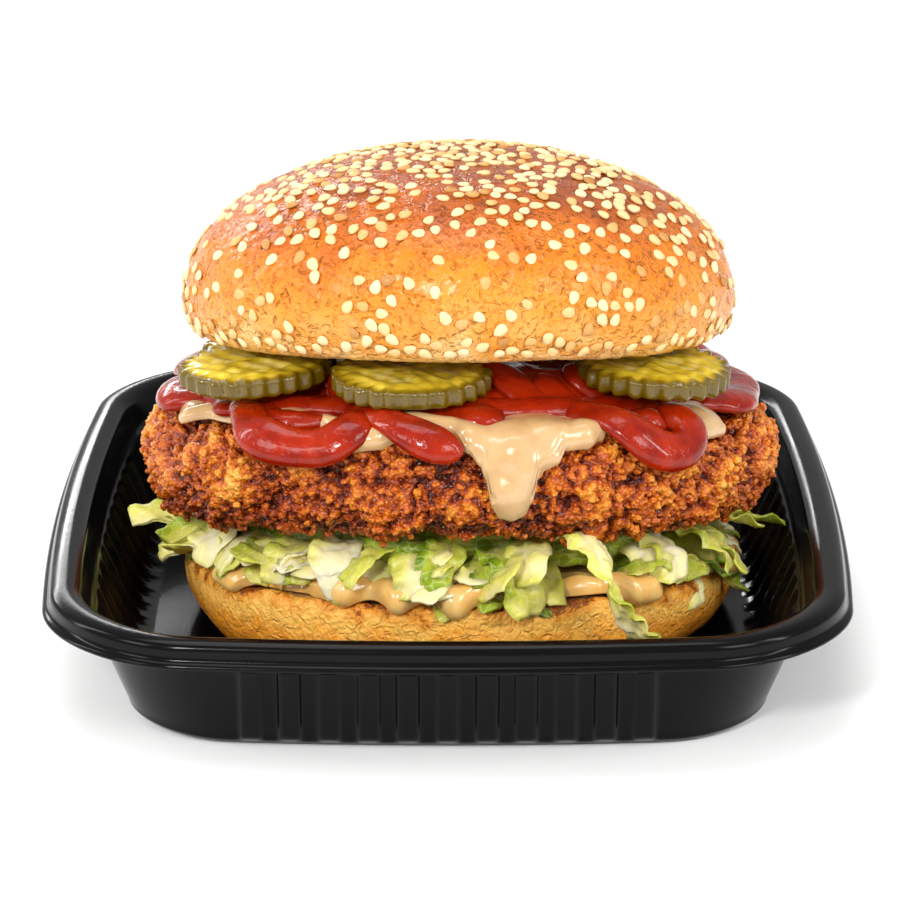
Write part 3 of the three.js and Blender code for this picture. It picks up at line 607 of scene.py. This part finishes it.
# Under the pieces lies the heap's own mass, crinkled like the leaves. Its deep green is painted shade in the
# gaps between the leaves.
bottom, top, core, columns = LETTUCE["bottom"], LETTUCE["top"], LETTUCE["core"], 210
heap_line = smooth_curve([(0.05, bottom), (38, bottom), (core - 2, bottom + 0.6), (core, bottom + 3.8),
                          (44, top - 1), (39, top), (0.05, top)], 8)
angle, radius, height = turned(heap_line, columns)
r = radius * (1 + 0.05 * np.cos(7 * angle) + 0.03 * np.cos(11 * angle + 1))
grid = lean(r * np.cos(angle), r * np.sin(angle) * LETTUCE["oval"], height)
flat = grid.reshape(-1, 3)
push = 1.3 * waves(flat * [1, 1, 2.4], 4.5, 3, 8) * smoothstep(0, 20, radius).reshape(-1)
flat = flat + normals_of(grid).reshape(-1, 3) * push[:, None]
leaves.append((flat, grid_faces(len(heap_line), columns), np.clip(0.85 + 0.2 * push, 0, 1)))
points, faces, green = joined(leaves)
lettuce = mesh_piece("lettuce_pieces", points, faces, "lettuce")
paint(lettuce, "green", green)

leaf, tree, surface, where = new_material("iceberg_leaf", glow=(0.4, 1.6, 1.6, 0.6), Roughness=0.32,
                                          IOR=1.38)
# On the heap under the pieces the green value is set deep as painted shade; on the pieces it is the leaves'
# own tone.
level = mottled(tree, stored(tree, "green"), noise_map(tree, where, 5, 5.0), 0.5)
leaf_tone = ramp(tree, level, (0.0, "#F8EDC4"), (0.2, "#F2E6A0"), (0.42, "#E0D76A"), (0.64, "#C0C440"),
                 (0.84, "#90A81E"), (1.0, "#5E7C0C"))
# Veins branch every 2 to 3 mm and stand out paler.
veins = add(tree, "ShaderNodeTexVoronoi", {"Vector": where, "Scale": 1 / (2.4 * MM), "Randomness": 1.0},
            "Distance", feature="DISTANCE_TO_EDGE")
vein_line = remapped(tree, veins, 0.0, 0.1, 0.3, 0.0)
feed(surface, {"Base Color": mixed(tree, vein_line, leaf_tone, linear("#F3EDB0")),
               "Normal": bump(tree, veins, 0.35, 0.6)})
lettuce.data.materials.append(leaf)

# ---------------------------------------------------------------- chicken
# A fillet in a craggy flour and crumb coating, deep fried: grains of about 1 mm gather into knobs and
# ridges, golden on their tips and deep red-brown in the pits, with an oily glint. The darker pits, rifts,
# gaps between grains and lower band are painted shade over the crust's own browning.
PATTY = dict(rx=59, ry=55, bottom=27, top=47)
PATTY_SIDE = [
    (0.8, 0), (0.92, 0.04), (0.97, 0.16), (0.99, 0.3), (1, 0.45), (1, 0.6), (0.985, 0.75), (0.95, 0.88),
    (0.89, 0.97), (0.8, 1),
]
CRUMB = dict(count=2300, smallest=0.32, largest=0.85)
thick = PATTY["top"] - PATTY["bottom"]


def patty_outline(angle):
    """How far the fillet's outline strays from an oval."""
    lobes = 1 + 0.022 * np.cos(3 * angle + 1.57) + 0.012 * np.cos(5 * angle + 0.4)
    return lobes + 0.012 * np.cos(8 * angle + 1) - 0.012 * np.cos(angle)


def knobbly(points):
    """The coarse form of the crust, in millimetres of height."""
    return 2.4 * domes(points, 13, 1) - 1.6 + 1.3 * waves(points, 8, 2, 5)


side = smooth_curve([(PATTY["rx"] * r, PATTY["bottom"] + thick * h) for r, h in PATTY_SIDE], 12)
side = np.concatenate([[(PATTY["rx"] * 0.73, PATTY["bottom"])], side, [(PATTY["rx"] * 0.7, PATTY["top"])]])
line = np.concatenate([
    resampled([(0.05, PATTY["bottom"]), (PATTY["rx"] * 0.72, PATTY["bottom"])], 3),
    resampled(side, 0.45),
    resampled([(PATTY["rx"] * 0.68, PATTY["top"]), (0.05, PATTY["top"])], 3),
])
columns = 740
angle, radius, height = turned(line, columns)
r = radius * patty_outline(angle)
grid = lean(r * np.cos(angle), r * np.sin(angle) * PATTY["ry"] / PATTY["rx"], height)
flat, normal = grid.reshape(-1, 3), normals_of(grid).reshape(-1, 3)
fade = smoothstep(0.62, 0.8, radius / PATTY["rx"]).reshape(-1)
warped = flat + 1.1 * np.stack([waves(flat, 3.0, 2, 20 + i) for i in range(3)], 1)
coarse = knobbly(flat)
middle = domes(warped, 3.8, 2)
fine = domes(warped, 1.55, 3, 0.7)
rift = np.clip(1 - np.abs(waves(flat, 6, 3, 50)) / 0.16, 0, 1)
push = coarse + 1.2 * (middle - 0.6) + 1.05 * (fine - 0.6) + 0.5 * waves(flat, 1.2, 2, 6) - 1.4 * rift
points = flat + normal * (push * fade)[:, None]
patty = mesh_piece("fried_fillet", points, grid_faces(len(line), columns), "patty")
# Lighter on the knobs and darker in the pits and rifts: the crust's own browning, with painted shade in the
# pits and rifts.
tip = 0.52 + 0.12 * (coarse - coarse.mean()) + 0.3 * (middle - 0.62) + 0.55 * (fine - 0.62) - 0.3 * rift
# Darker towards the bottom: painted shade under the fillet.
tip = tip - 0.2 * (1 - smoothstep(PATTY["bottom"], PATTY["bottom"] + 11, height)).reshape(-1)
paint(patty, "tip", np.clip(tip, 0, 1))

# Loose crumbs stick to the crust all round, as small craggy grains.
rng = np.random.default_rng(23)
grain_mesh = bmesh.new()
bmesh.ops.create_icosphere(grain_mesh, subdivisions=2, radius=1)
grain_mesh.verts.ensure_lookup_table()
grain = np.array([v.co[:] for v in grain_mesh.verts])
grain_faces = [tuple(v.index for v in f.verts) for f in grain_mesh.faces]
grain_mesh.free()
side_points = np.flatnonzero((radius / PATTY["rx"] > 0.83).reshape(-1))
weight = np.clip(0.25 + waves(flat[side_points], 7, 2, 60), 0.02, 1) * (0.4 + fine[side_points])
crumbs = []
for index in rng.choice(side_points, CRUMB["count"], p=weight / weight.sum()):
    size = CRUMB["smallest"] + (CRUMB["largest"] - CRUMB["smallest"]) * rng.uniform() ** 2
    knob = grain * (1 + rng.uniform(-0.22, 0.22, (len(grain), 1))) * size * rng.uniform(0.75, 1.25, 3)
    # Each crumb's tone follows the crust's value under it, painted shade included, with a random part of its
    # own.
    shade = np.clip(0.5 + 0.35 * (tip[index] - 0.5) + rng.uniform(-0.15, 0.25), 0, 1)
    knob = points[index] + normal[index] * size * 0.25 + knob
    crumbs.append((knob, grain_faces, np.full(len(grain), shade)))
crumb_points, crumb_faces, crumb_tip = joined(crumbs)
loose = mesh_piece("crust_crumbs", crumb_points, crumb_faces, "patty")
paint(loose, "tip", crumb_tip)

crust, tree, surface, where = new_material("fried_crumb_crust", IOR=1.47, Specular_IOR_Level=0.5)
scorch = noise_map(tree, where, 9, 5.0, Roughness=0.6)
# The fine grains also set the colour: lighter on their tops and darker between them, which is painted shade;
# the same height drives the bump.
grains = add(tree, "ShaderNodeTexVoronoi", {"Vector": where, "Scale": 1 / (0.75 * MM)}, "Distance")
grain_height = remapped(tree, grains, 0.0, 0.9, 0.16, -0.16)
level = mottled(tree, stored(tree, "tip"), scorch, 0.6)
level = add(tree, "ShaderNodeMath", {0: level, 1: grain_height}, operation="ADD")
crust_tone = ramp(tree, level, (0.08, "#4C1604"), (0.24, "#7E2A04"), (0.42, "#AC480A"), (0.6, "#CC6812"),
                  (0.78, "#E28A24"), (1.0, "#F2B44E"))
feed(surface, {"Base Color": crust_tone, "Roughness": remapped(tree, scorch, 0.35, 0.65, 0.17, 0.34),
               "Normal": bump(tree, grain_height, 1.0, 1.5)})
for piece in (patty, loose):
    piece.data.materials.append(crust)

# ---------------------------------------------------------------- sauces on the chicken
# Cream sauce was poured first: ivory, thick and glossy, with one long drip in front. Ketchup was squeezed
# over it from a bottle, so it lies in fat strands that double back over the edge, deep red and very glossy.
PATTY_RIM = [
    (0.0, 1), (0.5, 1), (0.8, 1.01), (0.905, 1.0), (0.965, 0.92), (1.0, 0.78), (1.012, 0.6), (1.01, 0.4),
    (0.985, 0.16),
]
CREAM_EDGE = [
    (-180, 48), (-170, 48), (-162, 54), (-155, 55.5), (-149, 51), (-131, 52), (-118, 55), (-110, 59.2),
    (-105, 58.5), (-99, 54), (-92, 54), (-88.6, 59), (-86.6, 61.5), (-85.6, 64.5), (-84.8, 69), (-83, 71.6),
    (-81, 72.2), (-79, 71.4), (-77.6, 68.5), (-76.8, 64.5), (-75, 62.6), (-73, 61.8), (-70.5, 58.8),
    (-66.5, 58.5), (-63, 56.5), (-58, 50), (-46, 53), (-38, 58.5), (-32, 58.5), (-27, 52), (-5, 49),
    (12, 54), (20, 57), (28, 53), (50, 52), (62, 57.5), (70, 54), (95, 53), (112, 57), (121, 60), (129, 55),
    (150, 52), (165, 50),
]
KETCHUP_EDGE = [
    (-180, 50), (-168, 51), (-160, 47), (-150, 46), (-140, 50), (-130, 55), (-118, 55), (-112, 50),
    (-103, 52), (-94, 51), (-84, 45), (-76, 44), (-68, 45), (-60, 53), (-50, 56.5), (-44, 54), (-38, 46),
    (-30, 47), (-20, 52), (0, 52), (18, 48), (36, 52), (56, 49), (78, 50), (96, 52), (116, 47), (136, 50),
    (154, 52), (170, 49),
]
patty_body = dict(profile=PATTY_RIM, outline=patty_outline, oval=PATTY["ry"] / PATTY["rx"],
                  size=(PATTY["rx"], PATTY["bottom"], thick))


def over_crags(along, angle):
    """How far the crust's coarse knobs lift what lies on them."""
    there = draped(angle=angle, along=along, offset=0 * along, **patty_body).reshape(-1, 3)
    return np.clip(knobbly(there).reshape(along.shape), -0.8, 1.4) * smoothstep(42, 50, along)


cream = sauce_piece("cream_sauce_pour", patty_body, edge_line(CREAM_EDGE), thick=2.2, columns=900,
                    node="cream_sauce", seed=6, round_edge=2.6,
                    extra=lambda s, a: 0.5 * over_crags(s, a))
cream.data.materials.append(emulsion("cream_sauce_emulsion", "#BE9866", "#CCA87A", 0.12))


def ketchup_heap(along):
    """How high the ketchup is heaped inside, where it meets the crown."""
    return 6.0 * (1 - smoothstep(33, 45, along))


ketchup = sauce_piece("ketchup_bed", patty_body, edge_line(KETCHUP_EDGE), thick=2.6, columns=720,
                      node="ketchup", seed=9, round_edge=3.0,
                      extra=lambda s, a: 0.6 * over_crags(s, a) + ketchup_heap(s))
# Each strand has half its width, its height, and its stations of a bearing in degrees and a distance from
# the middle.
STRANDS = [
    (3.4, 3.2, [(176, 44), (-178, 50), (-171, 53.5), (-164, 53.5), (-160, 48), (-162, 40)]),
    (3.8, 3.0, [(-166, 34), (-157, 41), (-149, 47), (-141, 51)]),
    (3.9, 3.2, [(-147, 40), (-141, 47), (-134, 53), (-128, 57.5), (-121, 59.5), (-114, 59), (-110.5, 55),
                (-112, 49)]),
    (3.5, 3.2, [(-128, 34), (-122, 40), (-115, 46), (-107, 51.5), (-100, 56), (-94, 58.4), (-89.5, 59.4)]),
    (4.2, 3.0, [(-114, 30), (-104, 37), (-95, 43), (-88, 48.5), (-81, 51.5)]),
    (4.2, 3.2, [(-100, 24), (-86, 31), (-76, 37), (-70, 42), (-63, 46)]),
    (3.9, 3.2, [(-66, 36), (-64, 43), (-61.5, 50), (-58.5, 56), (-54, 59.8), (-48.5, 60), (-44.5, 57),
                (-44, 50)]),
    (3.8, 3.0, [(-56, 34), (-50, 41), (-44, 46), (-37, 49.5)]),
    (4.0, 3.0, [(14, 42), (8, 49), (-1, 52), (-11, 52.5), (-20, 52.5), (-26, 48), (-27, 41)]),
]
for k, start in enumerate((14, 40, 68, 97, 126, 152)):
    reach = 54.5 + 2.5 * math.sin(2.2 * k)
    STRANDS.append((3.7, 3.2, [(start, 42), (start + 2, 50), (start + 6, reach), (start + 13, reach + 1.5),
                               (start + 19, reach - 1), (start + 21, 50), (start + 20, 42)]))


def strand(half, high, way, wobble):
    """A fat line of sauce that lies on the chicken and is rounded at both ends."""
    reach, spacing, columns = 50, 0.55, 24  # A bearing counts as a length at this reach.
    line = smooth_curve([(math.radians(a) * reach, s) for a, s in way], 12)
    length = travelled(line)
    even = np.linspace(0, length[-1], int(length[-1] / spacing))
    angle, along = np.interp(even, length, line[:, 0]) / reach, np.interp(even, length, line[:, 1])
    bumps = np.convolve(np.pad(over_crags(along, angle), 7, mode="edge"), np.ones(15) / 15, mode="valid")
    height = 0.6 * bumps + 2.3 + ketchup_heap(along)
    centre = draped(angle=angle, along=along, offset=height, **patty_body)
    out = draped(angle=angle, along=along, offset=height + 1, **patty_body) - centre
    out /= np.linalg.norm(out, axis=1, keepdims=True)
    side = np.cross(np.gradient(centre, axis=0), out)
    side /= np.linalg.norm(side, axis=1, keepdims=True)
    end = np.minimum(even, even[-1] - even) / (1.25 * half)
    full = np.sqrt(np.clip(1 - (1 - np.clip(end, 0.02, 1)) ** 2, 0, 1))
    swell = 1 + 0.07 * np.sin(even * 0.42 + wobble)
    around = np.arange(columns) / columns * TAU
    across = np.cos(around) * half
    upwards = np.where(np.sin(around) > 0, np.sin(around) * (high - 0.9), np.sin(around) * 1.6)
    shape = (full * swell)[:, None]
    rows = (centre[:, None, :] + side[:, None, :] * (shape * across)[..., None]
            + out[:, None, :] * (shape * upwards)[..., None])
    points = np.concatenate([rows.reshape(-1, 3), rows[:1].mean(1), rows[-1:].mean(1)])
    return points, capped_faces(len(rows), columns), np.zeros(len(points))


points, faces, _ = joined([strand(*row, wobble=1.7 * k) for k, row in enumerate(STRANDS)])
strands = mesh_piece("ketchup_strands", points, faces, "ketchup")
red, tree, surface, where = new_material(
    "tomato_ketchup", glow=(0.12, 2.0, 0.25, 0.1), Roughness=0.16, IOR=1.4, Specular_IOR_Level=0.2,
    Coat_Weight=0.32, Coat_Roughness=0.03)
feed(surface, {"Base Color": ramp(tree, noise_map(tree, where, 5, 4.0), (0.3, "#740E02"), (0.7, "#A02404")),
               "Normal": bump(tree, noise_map(tree, where, 3.0, 4.0), 0.6, 1.0)})
for piece in (ketchup, strands):
    piece.data.materials.append(red)

# ---------------------------------------------------------------- pickles
# Slices of pickled cucumber, cut with a wavy blade: translucent yellow-green flesh with pale seeds in three
# chambers, inside a thin dark olive skin. They are wet with brine.
PICKLE = dict(radius=14.6, thick=4.4, ridge=3.5, wave=0.11, flute=0.45, flutes=27, chambers=3, columns=220)
# Each slice has its place in millimetres, and its tilts and its spin in degrees.
PICKLES = [
    ("pickle_1", (-37.4, -24.0, 55.9), (-3, -5), 35),
    ("pickle_2", (-9, -34.8, 54.7), (-2, 0), 28),
    ("pickle_3", (35.4, -24.4, 55.7), (-2, 4), 40),
    ("pickle_4", (-35, 4, 54.4), (-8, -5), -20),
]
flesh, tree, surface, where = new_material(
    "pickled_cucumber", glow=(0.4, 2.2, 2.4, 0.8), Roughness=0.2, IOR=1.4, Specular_IOR_Level=0.4,
    Coat_Weight=0.4, Coat_Roughness=0.04)
skin_value = stored(tree, "skin")
speck = noise_map(tree, where, 3.5, 4.0)
flesh_tone = ramp(tree, speck, (0.28, "#8E8214"), (0.5, "#C8B42A"), (0.72, "#ECDC54"))
seeded = mixed(tree, stored(tree, "seed"), flesh_tone, linear("#F2E88A"))
skin_tone = ramp(tree, skin_value, (0.0, "#D8C230"), (0.4, "#B49E10"), (0.72, "#8C7204"), (1.0, "#624E02"))
feed(surface, {"Base Color": mixed(tree, skin_value, seeded, skin_tone),
               "Normal": bump(tree, speck, 0.25, 0.4)})

R, T = PICKLE["radius"], PICKLE["thick"] / 2
slice_line = np.concatenate([
    resampled([(0.05, -T), (R - 0.9, -T)], 0.6),
    smooth_curve([(R - 0.8, -T), (R - 0.15, -T + 0.5), (R, 0), (R - 0.15, T - 0.5), (R - 0.8, T)], 5),
    resampled([(R - 0.9, T), (0.05, T)], 0.6),
])
for index, (node, place, tilt, spin) in enumerate(PICKLES):
    angle, radius, height = turned(slice_line, PICKLE["columns"])
    skin_bumps = 1 + 0.01 * np.cos(5 * angle + index) + 0.012 * np.cos(3 * angle + 2 * index)
    flutes = PICKLE["flute"] * np.cos(PICKLE["flutes"] * angle + 0.9 * np.sin(3 * angle + index))
    r = radius * skin_bumps * 0.985 + flutes * smoothstep(R - 3, R - 0.5, radius)
    x, y = r * np.cos(angle), r * np.sin(angle)
    z = height + PICKLE["wave"] * np.cos((x + 1.6 * np.sin(y / 5)) / PICKLE["ridge"] * TAU)
    z = z + 0.25 * np.cos(PICKLE["flutes"] * angle + index) * smoothstep(R - 4, R, radius)
    z = z - 0.5 * (radius / R) ** 3 * height / T
    chamber = np.abs((angle * PICKLE["chambers"] / TAU + 0.31 * index) % 1 - 0.5) * 2
    hollow = smoothstep(0.5, 3, radius) * (1 - smoothstep(8.2, 10, radius)) * smoothstep(0.2, 0.5, chamber)
    z = z - 0.35 * hollow * np.sign(height)
    spots = domes(np.stack([x, y * 0.6, 0 * x], -1).reshape(-1, 3), 2.6, 30 + index, 0.55)
    spots = spots.reshape(x.shape) * hollow
    turn = math.radians(spin)
    ax, ay = (math.radians(v) for v in tilt)
    x, y = x * math.cos(turn) - y * math.sin(turn), x * math.sin(turn) + y * math.cos(turn)
    x, z = x * math.cos(ay) + z * math.sin(ay), -x * math.sin(ay) + z * math.cos(ay)
    y, z = y * math.cos(ax) - z * math.sin(ax), y * math.sin(ax) + z * math.cos(ax)
    centre = lean(*(np.array(v, float) for v in place))
    points = np.stack([x, y, z], -1).reshape(-1, 3) + centre
    faces = grid_faces(len(slice_line), PICKLE["columns"])
    piece = mesh_piece(node + "_slice", points, faces, node)
    paint(piece, "skin", smoothstep(R - 3.4, R - 0.3, radius).reshape(-1))
    paint(piece, "seed", spots.reshape(-1) * 0.8)
    piece.data.materials.append(flesh)

# ---------------------------------------------------------------- crown
# The upper half of the bun: enriched dough brushed with egg before baking, so its skin is glossy and deep
# golden on top, lighter down the sides and pale at the lower edge, with fine wrinkles and pinholes.
CROWN = dict(rx=52.6, ry=50.2, bottom=59.4, height=32.3, equator=8)
dome_share = np.sin(np.linspace(math.pi / 2, 0.001, 110))
dome = CROWN["equator"] + (CROWN["height"] - CROWN["equator"]) * (1 - dome_share ** 2.55) ** (1 / 2.2)
crown_line = np.concatenate([
    resampled([(0.05, 0.5), (CROWN["rx"] * 0.85, 0.0)], 2.5),
    smooth_curve([(CROWN["rx"] * 0.87, 0), (CROWN["rx"] * 0.935, 0.96), (CROWN["rx"] * 0.975, 3.2),
                  (CROWN["rx"] * 0.995, 5.9)], 6),
    np.stack([CROWN["rx"] * dome_share, dome], 1),
]) + [0, CROWN["bottom"]]


def crown_relief(points, radius, height):
    # Slow swells of the risen dough, shallow dimples about 8 mm apart, fine wrinkles of the skin, and
    # upright creases where the dough spread at the lower edge.
    top_share = smoothstep(CROWN["bottom"] + 3, CROWN["bottom"] + 10, height)
    dimples = np.clip(waves(points, 8, 2, 12), -1, 0)
    wrinkles = 0.22 * np.abs(waves(points, 3.2, 3, 13)) + 0.1 * waves(points, 1.4, 2, 15)
    creases = (1 - top_share) * np.abs(waves(points * [1, 1, 0.3], 4.5, 3, 14))
    return 0.45 * waves(points, 24, 2, 11) + top_share * 0.5 * dimples - wrinkles - 0.5 * creases


crown, _, height = bread_piece("crown_bread", resampled(crown_line, 0.6), 490, bun_wander,
                               CROWN["ry"] / CROWN["rx"], crown_relief, "crown")
paint(crown, "rise", ((height - CROWN["bottom"]) / CROWN["height"]).reshape(-1))

glazed, tree, surface, where = new_material(
    "egg_glazed_crown", IOR=1.45, Specular_IOR_Level=0.38, Coat_Weight=0.12, Coat_Roughness=0.18)
mottle = noise_map(tree, where, 11, 6.0, Roughness=0.62)
glaze_tone = ramp(tree, mottled(tree, stored(tree, "rise"), mottle, 0.9), (0.0, "#EAB872"),
                  (0.12, "#DE9A48"), (0.3, "#E08A26"), (0.55, "#D77814"), (0.8, "#BE5E0C"), (1.0, "#984208"))
skin = add(tree, "ShaderNodeTexNoise",
           {"Vector": where, "Scale": 1 / (1.5 * MM), "Detail": 4.0, "Distortion": 1.0},
           "Fac", noise_type="RIDGED_MULTIFRACTAL")
feed(surface, {"Base Color": glaze_tone, "Roughness": remapped(tree, mottle, 0.3, 0.7, 0.2, 0.33),
               "Normal": bump(tree, skin, 1.0, 1.6, invert=True)})
crown.data.materials.append(glazed)

# ---------------------------------------------------------------- sesame seeds
# Hulled sesame, pressed into the glaze before baking: flat teardrops 2.6 mm long, ivory to lightly toasted.
# They lie close on the top, further apart down the sides, and a row has gathered along the lower edge.
SEED = dict(length=2.6, width=2.05, thick=0.95, tries=12000, furthest=71, apart=2.4, rings=5, columns=12)
# How likely a place is to keep a seed, by its distance along the crown's outline from the top.
SEEDED_AT = [0, 26, 36, 46, 56, 62, 66, 67, 69.5, 70]
SEEDED = [0.5, 0.5, 0.3, 0.12, 0.07, 0.06, 0.1, 0.9, 0.9, 0]


def on_crown(angle, along):
    """A point of the crown's skin at a distance from its top, with two tangents and the normal."""
    line = crown_line[::-1]
    length = travelled(line)

    def at(a, s):
        r = np.interp(s, length, line[:, 0]) * bun_wander(a)
        return lean(r * np.cos(a), r * np.sin(a) * CROWN["ry"] / CROWN["rx"],
                    np.interp(s, length, line[:, 1]))
    here = at(angle, along)
    down = at(angle, along + 0.3) - here
    down /= np.linalg.norm(down)
    level_way = np.array([-math.sin(angle), math.cos(angle), 0.0])
    out = np.cross(level_way, down)
    out /= np.linalg.norm(out)
    return here, down, np.cross(out, down), -out


rng = np.random.default_rng(5)
chosen = []
for _ in range(SEED["tries"]):
    along = SEED["furthest"] * math.sqrt(rng.uniform(0, 1))
    angle = rng.uniform(0, TAU)
    keep = np.interp(along, SEEDED_AT, SEEDED)
    here, down, across, out = on_crown(angle, along)
    gathered = 0.5 + 1.1 * noise.fractal(Vector(here) / 9, 1.0, 2.0, 2)
    if rng.uniform() > keep * (1 if along > 66 else 2 * gathered):
        continue
    if all(np.linalg.norm(here - other[0]) > SEED["apart"] for other in chosen):
        chosen.append((here, down, across, out))
v = np.linspace(0, math.pi, SEED["rings"] + 2)[1:-1]
w = np.arange(SEED["columns"]) / SEED["columns"] * TAU
faces = [f[::-1] for f in capped_faces(SEED["rings"], SEED["columns"])]
seeds = []
for here, down, across, out in chosen:
    turn, tone = rng.uniform(0, TAU), rng.uniform(0, 1) ** 1.3
    size = rng.uniform(0.88, 1.08)
    long_way = down * math.cos(turn) + across * math.sin(turn)
    wide_way = np.cross(out, long_way)
    x = SEED["length"] / 2 * np.cos(v)[:, None] * np.ones(len(w))
    girth = np.sin(v)[:, None] * (1 - 0.28 * np.cos(v)[:, None])
    y = SEED["width"] / 2 * girth * np.cos(w)
    z = SEED["thick"] / 2 * girth * np.sin(w)
    body = np.concatenate([np.stack([x, y, z], -1).reshape(-1, 3),
                           [[SEED["length"] / 2, 0, 0], [-SEED["length"] / 2, 0, 0]]]) * size
    tilt = rng.uniform(-0.12, 0.12)
    body[:, 2] += body[:, 0] * tilt
    points = here + body[:, :1] * long_way + body[:, 1:2] * wide_way + (body[:, 2:] + 0.12) * out
    seeds.append((points, faces, np.full(len(points), tone)))
points, faces, tone = joined(seeds)
sesame = mesh_piece("sesame_seeds", points, faces, "crown")
paint(sesame, "tone", tone)
hulled, tree, surface, where = new_material("hulled_sesame", glow=(0.2, 0.8, 0.6, 0.35), Roughness=0.38,
                                            IOR=1.47)
seed_tone = ramp(tree, stored(tree, "tone"), (0.0, "#E9CFA0"), (0.65, "#DEBB80"), (0.9, "#CB9852"),
                 (1.0, "#AC7636"))
feed(surface, {"Base Color": seed_tone, "Normal": bump(tree, noise_map(tree, where, 0.5, 2.0), 0.15, 0.15)})
sesame.data.materials.append(hulled)

# ---------------------------------------------------------------- studio
# A pale floor under a white sky, with soft boxes above and at both sides, and the camera at the photo's
# angle.
TARGET = Vector((0.43, 0, 32.87)) * MM
DISTANCE = 735 * MM
ELEVATION = math.radians(20)

scene = bpy.context.scene
scene.view_settings.view_transform = "Standard"
camera = bpy.data.objects.new("camera", bpy.data.cameras.new("camera"))
camera.data.lens, camera.data.sensor_width = 152, 36
camera.data.clip_start = 0.01
camera.location = TARGET + DISTANCE * Vector((0, -math.cos(ELEVATION), math.sin(ELEVATION)))
camera.rotation_euler = (math.pi / 2 - ELEVATION, 0, 0)
scene.collection.objects.link(camera)
scene.camera = camera

FLOOR_REACH = 3
corners = [(x * FLOOR_REACH, y * FLOOR_REACH, 0) for x, y in ((-1, -1), (1, -1), (1, 1), (-1, 1))]
floor = bpy.data.objects.new("floor", bpy.data.meshes.new("floor"))
floor.data.from_pydata(corners, [], [(0, 1, 2, 3)])
scene.collection.objects.link(floor)
floor.data.materials.append(new_material("matt_white_board", Base_Color=linear("#FDFDFC"), Roughness=0.7)[0])

world = bpy.data.worlds.new("white_sky")
world.use_nodes = True
feed(world.node_tree.nodes["Background"], {"Color": linear("#FFFFFF"), "Strength": 0.55})
scene.world = world

LIGHTS = [
    ("soft_box_above", (-0.1, 0.1, 0.95), (0.6, 0.6), 4.2),
    ("soft_box_front", (-0.3, -0.75, 0.5), (0.13, 0.13), 4.0),
    ("fill_front_right", (0.55, -0.65, 0.55), (0.35, 0.35), 3.4),
    ("fill_front_left", (-0.75, -0.5, 0.5), (0.3, 0.3), 2.2),
    ("strip_behind", (-0.4, 0.85, 0.36), (0.6, 0.06), 2.4),
    ("soft_box_right", (0.8, -0.3, 0.45), (0.07, 0.6), 2.6),
    ("soft_box_left", (-0.8, 0.1, 0.4), (0.07, 0.6), 2.2),
]
for name, place, size, power in LIGHTS:
    lamp = bpy.data.objects.new(name, bpy.data.lights.new(name, "AREA"))
    lamp.data.shape = "RECTANGLE"
    lamp.data.size, lamp.data.size_y = size
    lamp.data.energy = power
    lamp.location = place
    lamp.rotation_euler = (TARGET - lamp.location).to_track_quat("-Z", "Y").to_euler()
    scene.collection.objects.link(lamp)
